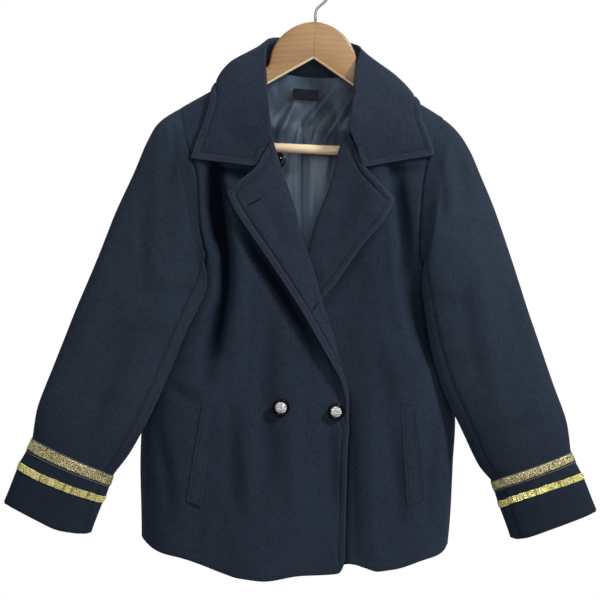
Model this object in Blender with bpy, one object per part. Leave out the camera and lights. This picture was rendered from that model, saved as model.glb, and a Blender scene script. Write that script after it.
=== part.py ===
"""A short double-breasted coat-blazer hanging on a wooden hanger.

Lengths are in millimetres; MM turns them into metres when a mesh is made.
The origin is where the hook rests on its rail. +Z is up, the front faces -Y
and +X is the viewer's right, which is the wearer's left.
"""
import bpy
import bmesh
import math
from mathutils import Matrix, Vector

MM = 0.001

# --- driving sizes -----------------------------------------------------------
WOOL = 2.2            # thickness of the wool wall
FOLDED_WOOL = 2.6     # collar and lapel: shell and facing together
SATIN = 1.0           # lining
GAP = 0.3             # between pieces at a seam
UNDERARM_GAP = 3.8    # more, where the panels and the sleeve meet under the arm
RIDGE = 9.0           # half the depth of the cloth over the hanger's arm
CHEST = 36.0          # further depth of the fronts below the shoulder
BACK = 35.0           # further depth of the back below the shoulder
FILL = 80.0           # drop over which that depth builds up
SIDE_ROUND = 70.0     # width over which the body rounds to its side seams
SEAM_BACK = 14.0      # the side seams sit this far back, behind the sleeves
LAP = 12.0            # the under front lies this far behind the over front
TURN = 4.5            # width of the turned edge at a lapel's roll
PEAK_SOFT = 9.0       # rounds the line of the shoulders where it passes over the neck
TURN_GAP = 1.3        # across, from the turned edge to the panel behind it
ARM_DROP = 5.0        # the second row of a panel, just over the hanger's arm
SLEEVE_ROOM = 9.0     # from the back of a sleeve to the front panel behind it
LINING_INSET = 4.5    # from the middle of the back's wall in to the lining
BACK_DIP = 50.0       # the back's hem hangs this far below its side seams
NECK_MIDDLE = -5.0    # of the back's neck scoop, across
NECK_HALF = 71.0      # half the width of that scoop
NECK_LOW = -139.0     # its lowest height
NECK_TILT = -0.069    # and its slope, with the hanger's tilt

# --- grids ---------------------------------------------------------------------
SIDE_STEPS = 8        # rows of a panel below the armhole
SIDE_EASE = 1.3       # those rows lie closer just below the armhole
FRONT_COLUMNS = 12
BACK_COLUMNS = 22
LINING_CELLS = 12
RING_POINTS = 20      # points round a sleeve
ARMHOLE_ROWS = 10     # the front half of a ring, and the panel rows beside it

# --- the hanger --------------------------------------------------------------
CROWN = Vector((0.7, 0.0, -62.0))   # top of the wood, under the hook
TILT = math.radians(2.8)            # the wearer's left hangs lower
WOOD = 12.0
HOOK_RADIUS = 20.0
HOOK_WIRE = 4.0
BAR_DROP = 185.4
BAR_DIAMETER = 14.0

# Half of the wood's outline, from the crown down to the arm's end and back.
ARM_OUTLINE = [  # across, up
    (0.2, -0.2), (20, -4), (38, -14), (50, -26), (58, -40), (62, -52), (65, -66),
    (72, -71.5), (181, -136), (189, -147), (193, -160), (193, -190), (189, -195),
    (179, -195), (175, -190), (175, -165), (69, -96), (0.2, -53),
]
ARM_BEVEL = 3.5
BAR_REACH = 175.0                   # from the middle to the arms' inner faces

# --- outlines seen from the front: height, across ------------------------------
SHOULDER_R = [(-121.0, -76.0), (-189.7, -196.0)]
SHOULDER_L = [(-130.8, 66.0), (-203.0, 186.3)]

ARMHOLE_R = [(-189.7, -196), (-235, -188), (-266, -177), (-300, -170), (-354, -168),
             (-389, -162), (-405, -158), (-417, -161), (-426, -172), (-430, -187)]
ARMHOLE_L = [(-203.0, 186.3), (-235, 174), (-266, 164), (-300, 157), (-335, 154),
             (-375, 152), (-403, 153), (-417, 158), (-428, 170), (-432, 184)]

SIDE_R = [(-430, -187), (-480, -207), (-545, -228), (-605, -244), (-659, -252),
          (-720, -253), (-812, -253)]
SIDE_L = [(-432, 184), (-480, 192), (-545, 199), (-600, 203), (-640, 204),
          (-700, 201), (-760, 196), (-820, 191)]

# Where the body's roundness ends: the sides, and above them the sleeve's outline.
ROUND_R = [(-189, -250), (-280, -252), (-340, -232), (-395, -202), (-430, -187)] + SIDE_R[1:]
ROUND_L = [(-203, 235), (-280, 240), (-340, 222), (-395, 198), (-432, 184)] + SIDE_L[1:]

EDGE_R = [(-121, -76), (-163, -77), (-200, -73), (-232, -68), (-254, -61), (-275, -53),
          (-305, -44), (-354, -29), (-393, -18), (-438, -3), (-467, 5), (-508, 18),
          (-543, 28), (-588, 40), (-612, 49), (-653, 51), (-681, 48), (-757, 46), (-844, 44)]
EDGE_L = [(-130.8, 66), (-165, 65), (-195, 64), (-222, 61), (-242, 47), (-279, 34),
          (-312, 24), (-344, 11), (-393, -4), (-430, -15), (-480, -30), (-530, -46),
          (-580, -60), (-610, -68), (-700, -70), (-866, -70)]

# How far the hem hangs below a straight line from the side to the front edge.
HEM_DIP_R = [(0.0, 0), (0.06, 9), (0.11, 13), (0.2, 21), (0.29, 29), (0.39, 38),
             (0.48, 43), (0.58, 44), (0.78, 30), (0.91, 23), (0.97, 16), (1.0, 0)]
HEM_DIP_L = [(0.0, 0), (0.05, 10), (0.13, 13), (0.29, 24), (0.38, 24), (0.45, 17),
             (0.56, 4), (0.8, 0), (1.0, 0)]

# The two deep folds under the collar: height, across, depth.
FOLD_R = [(-270, -145, 0), (-300, -145, 9), (-366, -138, 9), (-399, -130, 8),
          (-450, -132, 6), (-536, -148, 3), (-570, -156, 0)]
FOLD_L = [(-250, 116, 0), (-290, 121, 7), (-360, 133, 8), (-408, 136, 8),
          (-453, 134, 7), (-518, 154, 4), (-575, 176, 0)]
FOLD_WIDTH = 15.0
CHEST_LINE = -436.0   # the panels' rows are level here
PRESS_TOP = -398.0    # below this height the sleeves press the fronts back

# --- sleeves: outer edge, inner edge, depth of each, reach forward and back, belly
SLEEVE_R = [
    (-214, -201, -165, -411, -2, -41, 34, 58, 0),
    (-229, -214, -159, -424, -6, -46, 32, 52, 0),
    (-244, -238, -157, -436, -11, -47, 30, 45, 0),
    (-262, -281, -158, -450, -17, -46, 29, 39, 0),
    (-290, -343, -168, -474, -24, -45, 28, 34, 0),
    (-318, -410, -187, -514, -30, -42, 27, 30, 0),
    (-346, -476, -209, -566, -34, -41, 26, 27, 0),
    (-379, -560, -239, -633, -37, -40, 26, 26, 0),
    (-403, -629, -271, -691, -38, -39, 25, 25, 1),
    (-410, -670, -294, -722, -37, -38, 25, 25, 3),
    (-416, -683, -298, -733, -37, -37, 25, 25, 4),
    (-427, -702, -304, -750, -36, -36, 24, 24, 6),
    (-431, -711, -308, -758, -36, -36, 24, 24, 7),
    (-450, -763, -326, -801, -35, -35, 23, 23, 13),
]
SLEEVE_L = [
    (199, -214, 162, -412, -2, -41, 34, 58, 0),
    (213, -230, 157, -427, -6, -46, 32, 52, 0),
    (226, -252, 155, -443, -11, -47, 30, 45, 0),
    (241, -288, 157, -464, -17, -46, 29, 39, 0),
    (257, -328, 161, -492, -24, -45, 28, 34, 0),
    (287, -415, 169, -538, -30, -42, 27, 30, 0),
    (315, -493, 184, -590, -34, -41, 26, 27, 0),
    (348, -582, 212, -652, -37, -40, 26, 26, 0),
    (365, -648, 240, -709, -38, -39, 25, 25, 2),
    (371, -689, 257, -731, -37, -38, 25, 25, 5),
    (376, -701, 261, -743, -37, -37, 25, 25, 6),
    (386, -720, 266, -760, -36, -36, 24, 24, 5),
    (390, -728, 269, -769, -36, -36, 24, 24, 5),
    (407, -774, 285, -811, -35, -35, 23, 23, 9),
]
BAND_ROWS = (10, 11)      # rows of the sleeve between which the wide band lies
BRAID_ROWS = (12, 13)

# --- collar: fold line, outer edge, outward bulge, belly of the lower edge -----
COLLAR_R = [
    (-63, -44, -231, -179, -38, -261, 0, 33),
    (-66, -42, -202, -170, -34, -234, 0, 14),
    (-69, -36, -172, -160, -29, -208, 2, 5),
    (-71, -27, -145, -154, -24, -187, 4, 1),
    (-72, -14, -120, -152, -19, -171, 8, 0),
    (-72, 0, -98, -149, 3, -157, 12, 0),
    (-69, 15, -89, -134, 23, -165, 12, 0),
    (-58, 28, -86, -98, 29, -171, 8, 0),
    (-36, 36, -84.5, -52, 36, -173, 5, 0),
]
COLLAR_BACK = (-5, 38, -84, -5, 40, -173, 4, 0)
COLLAR_L = [
    (50, -43, -219, 173, -37, -256, 0, 45),
    (53, -42, -197, 167, -34, -237, 0, 22),
    (56, -36, -174, 161, -29, -219, 2, 8),
    (58, -27, -148, 155, -24, -203, 4, 2),
    (61, -14, -122, 153, -19, -189, 8, 0),
    (67, 0, -103, 151, 3, -175, 12, 0),
    (62, 15, -94, 126, 23, -181, 12, 0),
    (48, 28, -89, 88, 29, -180, 8, 0),
    (26, 36, -86, 42, 36, -176, 5, 0),
]
NOTCH = 0.29      # where along its lower edge the collar meets the lapel

# --- lapels: roll line, outer edge ---------------------------------------------
LAPEL_R = [
    (-62, -234, -126, -311), (-54, -262, -118, -331), (-43, -296, -104, -354),
    (-31, -330, -80, -389), (-20, -371, -61, -417), (-4, -420, -43, -444),
    (9, -467, -17, -485), (23, -508, 3, -520), (33, -545, 19, -550), (41, -572, 32, -571),
]
LAPEL_L = [
    (48, -224, 115, -322), (38, -242, 108, -336), (29, -279, 96, -355),
    (19, -312, 72, -383), (6, -344, 52, -410), (-8, -393, 30, -441),
    (-18, -430, 10, -465), (-30, -470, -12, -492), (-42, -508, -32, -515),
]
LAPEL_BELLY = 8.5
LAPEL_CORNER = 0.47
LAPEL_SPRING = 3.0

# --- trims -----------------------------------------------------------------------
BUTTON_RADIUS = 12.6
BUTTON_THICK = 6.0
BUTTON_R = (-50.0, -623.0)
BUTTON_L = (30.0, -629.0)
BUTTON_SPARE = (-58.0, -264.0)
WELT_R = [(-155, -622), (-176, -762)]
WELT_L = [(134, -616), (146, -762)]
WELT_WIDTH = 22.0
WELT_THICK = 1.6
LABEL = (-13.0, -166.5, 36.0, 15.0)
LABEL_THICK = 0.8
TRIM_THICK = 0.9


# --- small tools -------------------------------------------------------------------
def read(table, key, column=1):
    """Linear reading of a table whose first column falls or rises steadily."""
    rising = table[0][0] < table[-1][0]
    rows = table if rising else table[::-1]
    if key <= rows[0][0]:
        return rows[0][column]
    for low, high in zip(rows, rows[1:]):
        if key <= high[0]:
            share = (key - low[0]) / (high[0] - low[0])
            return low[column] + share * (high[column] - low[column])
    return rows[-1][column]


def mix(a, b, share):
    return a + (b - a) * share


def ease(value):
    value = min(1.0, max(0.0, value))
    return value * value * (3.0 - 2.0 * value)


def clear_scene():
    for old in list(bpy.data.objects):
        bpy.data.objects.remove(old, do_unlink=True)


def make_material(name, colour, roughness, metallic=0.0):
    material = bpy.data.materials.new(name)
    material.use_nodes = True
    shader = material.node_tree.nodes["Principled BSDF"]
    shader.inputs["Base Color"].default_value = (*colour, 1.0)
    shader.inputs["Roughness"].default_value = roughness
    shader.inputs["Metallic"].default_value = metallic
    return material


def make_object(name, bm, material, smooth_angle=40.0):
    bmesh.ops.recalc_face_normals(bm, faces=bm.faces)
    mesh = bpy.data.meshes.new(name)
    bm.to_mesh(mesh)
    bm.free()
    mesh.transform(Matrix.Scale(MM, 4))
    mesh.materials.append(material)
    mesh.shade_smooth()
    mesh.set_sharp_from_angle(angle=math.radians(smooth_angle))
    thing = bpy.data.objects.new(name, mesh)
    bpy.context.scene.collection.objects.link(thing)
    return thing


# --- walls: a grid of points given a thickness ---------------------------------------
def grid_normals(grid, closed=False):
    """Unit normals of a grid of points, from the neighbours along both ways."""
    rows, columns = len(grid), len(grid[0])
    normals = []
    for i in range(rows):
        line = []
        for j in range(columns):
            down = grid[min(i + 1, rows - 1)][j] - grid[max(i - 1, 0)][j]
            if closed:
                across = grid[i][(j + 1) % columns] - grid[i][j - 1]
            else:
                across = grid[i][min(j + 1, columns - 1)] - grid[i][max(j - 1, 0)]
            line.append(down.cross(across).normalized())
        normals.append(line)
    return normals


def draw_in(grid, edge, distance):
    """Move one edge of a grid into the piece, so that its seam has a gap."""
    if edge == "top":
        for j in range(len(grid[0])):
            grid[0][j] = grid[0][j] + (grid[1][j] - grid[0][j]).normalized() * distance
    else:
        j, k = (0, 1) if edge == "left" else (-1, -2)
        for line in grid:
            line[j] = line[j] + (line[k] - line[j]).normalized() * distance


def draw_in_underarm(panels, sleeve):
    """More room at the point under the arm, where four pieces meet."""
    for grid, edge in panels:
        j, k = (0, 1) if edge == "left" else (-1, -2)
        for i in range(ARMHOLE_ROWS - 2, ARMHOLE_ROWS + 1):
            grid[i][j] = grid[i][j] + (grid[i][k] - grid[i][j]).normalized() * UNDERARM_GAP
    for turn in range(ARMHOLE_ROWS - 2, ARMHOLE_ROWS + 3):
        step = (sleeve[1][turn] - sleeve[0][turn]).normalized() * UNDERARM_GAP
        sleeve[0][turn] = sleeve[0][turn] + step


def make_wall(name, grid, normals, thickness, material, closed=False):
    """Close a grid into a wall: two faces, half the thickness apart each way, and a rim."""
    bm = bmesh.new()
    rows, columns = len(grid), len(grid[0])
    sheets = []
    for side in (0.5, -0.5):
        sheets.append([[bm.verts.new(grid[i][j] + normals[i][j] * (thickness * side))
                        for j in range(columns)] for i in range(rows)])
    last = columns if closed else columns - 1
    for i in range(rows - 1):
        for j in range(last):
            k = (j + 1) % columns
            for sheet in sheets:
                bm.faces.new((sheet[i][j], sheet[i + 1][j], sheet[i + 1][k], sheet[i][k]))
    outer, inner = sheets
    for i in (0, rows - 1):
        for j in range(last):
            k = (j + 1) % columns
            bm.faces.new((outer[i][j], outer[i][k], inner[i][k], inner[i][j]))
    if not closed:
        for j in (0, columns - 1):
            for i in range(rows - 1):
                bm.faces.new((outer[i][j], inner[i][j], inner[i + 1][j], outer[i + 1][j]))
    return make_object(name, bm, material)


# --- the form of the body --------------------------------------------------------------
def shoulder_height(x):
    """Height of the shoulder line, carried on over the neck."""
    total = 0.0
    for (inner_z, inner_x), (outer_z, outer_x) in (SHOULDER_R, SHOULDER_L):
        slope_z = mix(inner_z, outer_z, (x - inner_x) / (outer_x - inner_x))
        total += math.exp(-slope_z / PEAK_SOFT)
    return -PEAK_SOFT * math.log(total)


def side_share(x, z, width):
    """From 0 at the side seams to 1 inside the body, as a quarter round."""
    reach = min(x - read(ROUND_R, z), read(ROUND_L, z) - x) / width
    reach = min(1.0, max(0.0, reach))
    return (1.0 - (1.0 - reach) ** 2.2) ** (1.0 / 2.2)


def body_depth(x, z, fullness, share):
    drop = max(0.0, shoulder_height(x) - z)
    over_arm = RIDGE * (1.0 - math.exp(-drop / 2.5))
    return (over_arm + fullness * (1.0 - math.exp(-drop / FILL))) * share


def seam_back(z, share):
    """How far back the side seam is, felt less towards the middle."""
    behind_sleeve = ease((-340.0 - z) / 110.0) * (1.0 - 0.75 * ease((-600.0 - z) / 110.0))
    return SEAM_BACK * behind_sleeve * (1.0 - share)


def sleeve_behind(x, z, rows):
    """How far back a sleeve reaches over this place, or None beside it."""
    best = None
    for row, after in zip(rows, rows[1:]):
        outer_a, inner_a = Vector(row[0:2]), Vector(row[2:4])
        outer_b, inner_b = Vector(after[0:2]), Vector(after[2:4])
        place = Vector((x, z))
        side_a = (inner_a - outer_a).cross(place - outer_a)
        side_b = (inner_b - outer_b).cross(place - outer_b)
        if side_a * side_b > 0.0:
            continue
        share = abs(side_a) / (abs(side_a) + abs(side_b) + 1e-9)
        outer, inner = outer_a.lerp(outer_b, share), inner_a.lerp(inner_b, share)
        along = (place - outer).dot(inner - outer) / (inner - outer).length_squared
        if 0.0 < along < 1.0:
            half = mix(row[7], after[7], share)
            half *= math.sqrt(1.0 - (2.0 * along - 1.0) ** 2) ** mix(0.85, 1.9, along)
            centre = mix(mix(row[4], row[5], along), mix(after[4], after[5], along), share)
            depth = centre + half
            best = depth if best is None else max(best, depth)
    return best


def deep_fold(x, z, table):
    across = (x - read(table, z, 1)) / FOLD_WIDTH
    return read(table, z, 2) * math.exp(-across * across)


def front_y(x, z):
    """Middle of the front cloth's wall: rounded body, the two deep folds, room for sleeves."""
    share = side_share(x, z, SIDE_ROUND)
    y = seam_back(z, share) - body_depth(x, z, CHEST, share)
    y += (deep_fold(x, z, FOLD_R) + deep_fold(x, z, FOLD_L)) * share
    for rows, side in ((SLEEVE_R, -1.0), (SLEEVE_L, 1.0)):
        if side * x > 0.0 and z < PRESS_TOP:
            reach = sleeve_behind(x, z, rows)
            if reach is not None:
                y = mix(y, max(y, reach + SLEEVE_ROOM), ease((PRESS_TOP - z) / 15.0))
    return y


def back_y(x, z):
    share = side_share(x, z, SIDE_ROUND)
    return seam_back(z, share) + body_depth(x, z, BACK, share)


def under_y(x, z):
    """The under front goes back behind the over front where they lap."""
    lap = LAP * ease((105.0 - x) / 70.0) * ease((-180.0 - z) / 90.0)
    lap = mix(lap, 0.55 * lap, ease((-560.0 - z) / 120.0))
    return front_y(x, z) + lap


# --- body panels ---------------------------------------------------------------------
def armhole_heights(table):
    """Heights of the armhole's rows: even, and closer round the scoop at the bottom."""
    top, bottom = table[0][0], table[-1][0]
    heights = [top]
    for row in range(ARMHOLE_ROWS):
        share = row / (ARMHOLE_ROWS - 1)
        heights.append(mix(top - ARM_DROP, bottom, math.sin(share * math.pi / 2.0)))
    return heights


def side_points(armhole, side, steps):
    """Across and height down the armhole and then down the side seam."""
    points = [(read(armhole, z), z) for z in armhole_heights(armhole)]
    for step in range(1, steps + 1):
        z = mix(side[0][0], side[-1][0], (step / steps) ** SIDE_EASE)
        points.append((read(side, z), z))
    return points


def edge_across(edge, lapel, outward, z):
    """Where a front panel ends: behind the lapel's turned edge, or at its own edge."""
    roll = [(row[1], row[0]) for row in lapel]
    if roll[-1][0] < z < roll[0][0]:
        return read(roll, z) + outward * (TURN + TURN_GAP)
    return read(edge, z)


def front_grid(armhole, side, edge, lapel, dip, depth, outward):
    """A front panel: rows run from the armhole or side seam to the front edge."""
    outer = side_points(armhole, side, SIDE_STEPS)
    grid = []
    last = len(outer) - 1
    for i, (x_side, z_side) in enumerate(outer):
        if i <= ARMHOLE_ROWS:
            share = max(0.0, (i - 1) / (ARMHOLE_ROWS - 1))
            z_edge = mix(edge[0][0] - ARM_DROP, CHEST_LINE, share)
        else:
            share = (i - ARMHOLE_ROWS) / SIDE_STEPS
            z_edge = mix(CHEST_LINE, edge[-1][0], share ** SIDE_EASE)
        x_edge = edge_across(edge, lapel, outward, z_edge)
        dip_share = max(0.0, (i - ARMHOLE_ROWS) / (last - ARMHOLE_ROWS)) ** 2
        line = []
        for j in range(FRONT_COLUMNS + 1):
            along = j / FRONT_COLUMNS
            along = 0.45 * along * along + 0.55 * along
            x = mix(x_side, x_edge, along)
            z = mix(z_side, z_edge, along) - read(dip, along) * dip_share
            if i < 2:
                z = shoulder_height(x) - ARM_DROP * i
            line.append(Vector((x, depth(x, z), z)))
        grid.append(line)
    return grid


def neck_curve(x):
    """Height of the back's top edge: the shoulders and the scooped neck."""
    line = shoulder_height(x)
    off = abs(x - NECK_MIDDLE) / NECK_HALF
    if off >= 1.0:
        return line
    low = NECK_LOW + (x - NECK_MIDDLE) * NECK_TILT
    return min(line, mix(low, line, off ** 4))


def back_grid():
    left = side_points(ARMHOLE_R, SIDE_R, SIDE_STEPS)
    right = side_points(ARMHOLE_L, SIDE_L, SIDE_STEPS)
    grid = []
    last = len(left) - 1
    for i in range(len(left)):
        line = []
        for j in range(BACK_COLUMNS + 1):
            along = j / BACK_COLUMNS
            along = along - 0.05 * math.sin(2.0 * math.pi * along)
            x = mix(left[i][0], right[i][0], along)
            z = mix(left[i][1], right[i][1], along)
            chord = mix(left[0][1], right[0][1], along)
            top_x = mix(left[0][0], right[0][0], along)
            rise = (neck_curve(top_x) - chord) * (1.0 - max(0, i - 1) / (last - 1)) ** 2.5
            if i < 2:
                z = chord - ARM_DROP * i
            dip = BACK_DIP * math.sin(math.pi * along) ** 0.8
            dip *= max(0.0, (i - ARMHOLE_ROWS) / (last - ARMHOLE_ROWS)) ** 2
            z = z + rise - dip
            line.append(Vector((x, back_y(x, z), z)))
        grid.append(line)
    return grid


# --- sleeves -------------------------------------------------------------------------
def ring_point(row, turn):
    """Point of a sleeve's ring; a turn of 0 is the outer edge and pi the inner one."""
    outer_x, outer_z, inner_x, inner_z, outer_y, inner_y, forward, backward, belly = row
    along = 0.5 - 0.5 * math.cos(turn)
    front = math.sin(turn) > 0.0
    round_off = abs(math.sin(turn)) ** mix(0.85, 1.35 if front else 1.9, along)
    drop = belly * math.sin(turn) if front else -0.4 * belly * math.sin(turn)
    y = mix(outer_y, inner_y, along) + (-forward if front else backward) * round_off
    x = mix(outer_x, inner_x, along)
    z = mix(outer_z, inner_z, along) - drop
    return Vector((x, y, z))


def armhole_ring(armhole):
    """The sleeve's first ring: down the front of the armhole and up its back."""
    front = []
    back = []
    for z in armhole_heights(armhole):
        x = read(armhole, z)
        front.append(Vector((x, front_y(x, z), z)))
        back.append(Vector((x, back_y(x, z), z)))
    return front + back[-2:0:-1]


def sleeve_grid(armhole, rows):
    grid = [armhole_ring(armhole)]
    for row in rows:
        turns = [2.0 * math.pi * k / RING_POINTS for k in range(RING_POINTS)]
        grid.append([ring_point(row, turn) for turn in turns])
    return grid


def band_grid(grid, normals, rows, lift):
    """A ring of trim between two rows of the sleeve, moved out along its normals."""
    top, bottom = rows
    ring = []
    for i in (top, bottom):
        ring.append([point + normal * lift for point, normal in zip(grid[i], normals[i])])
    return ring, [normals[top], normals[bottom]]


# --- collar and lapels -----------------------------------------------------------------
def collar_section(station, seam):
    """Points from the neck seam over the fold to the outer edge."""
    fold = Vector(station[0:3])
    edge = Vector(station[3:6])
    bulge, belly = station[6:8]
    chord = edge - fold
    inward = -1.0 if chord.x > 0.0 else 1.0
    down = Vector((inward * abs(chord.z), 0.0, -abs(chord.x))).normalized()
    out = Vector((chord.x, 0.0, 0.0)) * 0.5 + Vector((0.0, 0.0, 1.0)) * abs(chord.x)
    if fold.y > 10.0:
        out += Vector((0.0, 60.0, 0.0))
    out.normalize()
    points = [seam, seam.lerp(fold, 0.6)]
    for v in (0.0, NOTCH / 2.0, NOTCH, 0.53, 0.77, 1.0):
        sag = belly * (v / NOTCH if v < NOTCH else (1.0 - v) / (1.0 - NOTCH))
        lift = bulge * math.sin(math.pi * v ** 1.4)
        points.append(fold.lerp(edge, v) + down * sag + out * lift)
    return points


def collar_grid():
    stations = COLLAR_R + [COLLAR_BACK] + COLLAR_L[::-1]
    grid = []
    for station in stations:
        x, y, z = station[0:3]
        if y > 10.0:
            seam_z = neck_curve(x)
            seam = Vector((x, back_y(x, seam_z), seam_z + 1.8))
        else:
            away = -5.0 if x < 0 else 5.0
            depth = front_y if x < 0 else under_y
            seam = Vector((x + away, depth(x + away, z), z))
            seam.y = min(seam.y - 2.0, y + 6.0)
            seam.z = max(seam.z, z - 14.0) - 14.0 * ease((z + 150.0) / 40.0)
            seam.z = max(seam.z, shoulder_height(seam.x) + 3.0) if z > -125.0 else seam.z
        grid.append(collar_section(station, seam))
    return grid


def lapel_grid(rows, depth, outward):
    """A turned lapel: from the front's edge round the roll line and over the front."""
    grid = []
    last = len(rows) - 1
    for i, (roll_x, roll_z, edge_x, edge_z) in enumerate(rows):
        belly = LAPEL_BELLY * max(0.0, 1.0 - i / 2.0)
        chord = Vector((edge_x - roll_x, 0.0, edge_z - roll_z))
        sag = Vector((chord.z * outward, 0.0, -abs(chord.x))).normalized()
        line = []
        for inset, forward in ((TURN, 0.0), (0.9, -1.2), (0.0, -3.2)):
            x = roll_x + outward * inset
            line.append(Vector((x, depth(x, roll_z) + forward, roll_z)))
        for v in (0.07, 0.26, LAPEL_CORNER, 0.73, 1.0):
            point = Vector((roll_x, 0.0, roll_z)) + chord * v
            share = v / LAPEL_CORNER if v < LAPEL_CORNER else (1.0 - v) / (1.0 - LAPEL_CORNER)
            point += sag * (belly * share)
            spring = LAPEL_SPRING * math.sin(math.pi * v) * (1.0 - 0.6 * i / last)
            point.y = depth(point.x, point.z) - 5.2 - spring
            line.append(point)
        grid.append(line)
    return grid


# --- hard pieces ----------------------------------------------------------------------
def extrude_outline(name, outline, low, high, material):
    """A board of this outline, its long edges bevelled but not the joint at its start."""
    bm = bmesh.new()
    face = bm.faces.new([bm.verts.new((x, low, z)) for x, z in outline])
    pushed = bmesh.ops.extrude_face_region(bm, geom=[face])
    moved = [item for item in pushed["geom"] if isinstance(item, bmesh.types.BMVert)]
    bmesh.ops.translate(bm, verts=moved, vec=(0.0, high - low, 0.0))
    bmesh.ops.recalc_face_normals(bm, faces=bm.faces)
    joint_x = CROWN.x + 4.0
    rims = [edge for edge in bm.edges
            if abs(edge.verts[0].co.y - edge.verts[1].co.y) < 0.01
            and max(abs(vert.co.x) for vert in edge.verts) > joint_x]
    bmesh.ops.bevel(bm, geom=rims, offset=ARM_BEVEL, segments=1, affect="EDGES")
    bmesh.ops.triangulate(bm, faces=[f for f in bm.faces if len(f.verts) > 4])
    return make_object(name, bm, material)


def in_hanger(x, z):
    """Place a point of the hanger's own outline, which hangs a little tilted."""
    turned_x = x * math.cos(TILT) + z * math.sin(TILT)
    turned_z = z * math.cos(TILT) - x * math.sin(TILT)
    return CROWN.x + turned_x, CROWN.z + turned_z


def make_hanger(wood, wire):
    for name, side in (("hanger_arm_right", -1.0), ("hanger_arm_left", 1.0)):
        outline = [in_hanger(side * x, z) for x, z in ARM_OUTLINE]
        extrude_outline(name, outline, -WOOD / 2.0, WOOD / 2.0, wood)
    reach = BAR_REACH - GAP
    start = in_hanger(-reach, -BAR_DROP)
    end = in_hanger(reach, -BAR_DROP)
    make_tube("hanger_bar", [(start[0], 0.0, start[1]), (end[0], 0.0, end[1])],
              BAR_DIAMETER / 2.0, wood, 3)
    make_tube("hanger_hook", hook_route(), HOOK_WIRE / 2.0, wire, 2)


def hook_route():
    """Up the shank, round the open ring over its top and down to the tip."""
    centre_z = -HOOK_RADIUS + HOOK_WIRE / 2.0
    foot = CROWN.z + GAP
    bend_z = centre_z - HOOK_RADIUS - 6.0
    points = [(CROWN.x, 0.0, mix(foot, bend_z, share)) for share in (0.0, 0.5, 1.0)]
    for step in range(21):
        angle = math.radians(mix(-60.0, 190.0, step / 20.0))
        x = HOOK_RADIUS * math.cos(angle)
        z = centre_z + HOOK_RADIUS * math.sin(angle)
        points.append((x, 0.0, z))
    return points


def make_tube(name, points, radius, material, resolution):
    curve = bpy.data.curves.new(name, "CURVE")
    curve.dimensions = "3D"
    spline = curve.splines.new("POLY")
    spline.points.add(len(points) - 1)
    for target, point in zip(spline.points, points):
        target.co = (*(value * MM for value in point), 1.0)
    curve.bevel_depth = radius * MM
    curve.bevel_resolution = resolution
    curve.render_resolution_u = 0
    curve.use_fill_caps = True
    curve.materials.append(material)
    thing = bpy.data.objects.new(name, curve)
    bpy.context.scene.collection.objects.link(thing)
    return thing


def make_button(name, place, y_cloth, facing, material):
    """A turned button: sewing boss, back, rolled rim and a domed jewel."""
    profile = [(0.0, 0.0), (4.0, 0.0), (4.0, 1.2), (9.0, 1.4), (BUTTON_RADIUS - 0.6, 2.6),
               (BUTTON_RADIUS, 4.0), (BUTTON_RADIUS - 0.8, 5.4), (9.6, BUTTON_THICK),
               (8.8, BUTTON_THICK - 0.4), (5.0, BUTTON_THICK + 1.0), (0.0, BUTTON_THICK + 1.4)]
    bm = bmesh.new()
    sides = 16
    rings = []
    for radius, height in profile:
        y = y_cloth + facing * height
        if radius == 0.0:
            rings.append([bm.verts.new((place[0], y, place[1]))])
            continue
        turns = [2.0 * math.pi * k / sides for k in range(sides)]
        rings.append([bm.verts.new((place[0] + radius * math.cos(t), y,
                                    place[1] + radius * math.sin(t))) for t in turns])
    for low, high in zip(rings, rings[1:]):
        for k in range(sides):
            n = (k + 1) % sides
            corners = [low[k % len(low)], low[n % len(low)],
                       high[n % len(high)], high[k % len(high)]]
            unique = list(dict.fromkeys(corners))
            bm.faces.new(unique)
    return make_object(name, bm, material, 50.0)


def make_strip(name, ends, width, thickness, lift, depth, material):
    """A pocket welt: a strip of wool lying on the front."""
    start, end = Vector(ends[0]), Vector(ends[1])
    along = (end - start)
    across = Vector((-along.y, along.x)).normalized()
    grid = []
    for i in range(7):
        centre = start.lerp(end, i / 6.0)
        line = []
        for j in range(4):
            place = centre + across * (width * (0.5 - j / 3.0))
            line.append(Vector((place.x, depth(place.x, place.y) - lift, place.y)))
        grid.append(line)
    return make_wall(name, grid, grid_normals(grid), thickness, material)


# --- assembly -------------------------------------------------------------------------
def flatten(normals, rows, column):
    """Along a seam between front and back the walls end square to the seam."""
    for i in rows:
        normal = normals[i][column].copy()
        normal.y = 0.0
        normals[i][column] = normal.normalized()


def share_armhole(panel, column, sleeve, ring):
    """Both walls end on the same mitre along an armhole seam."""
    for row, turn in enumerate(ring):
        both = panel[row][column] + sleeve[0][turn]
        if both.length > 1e-6:
            both.normalize()
            panel[row][column] = both
            sleeve[0][turn] = both


def face_out(grid, normals, inside):
    """Turn the normals so that they point away from a place inside."""
    middle = grid[len(grid) // 2][len(grid[0]) // 2]
    normal = normals[len(grid) // 2][len(grid[0]) // 2]
    if (middle - inside).dot(normal) < 0.0:
        return [[-n for n in line] for line in normals]
    return normals


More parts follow.
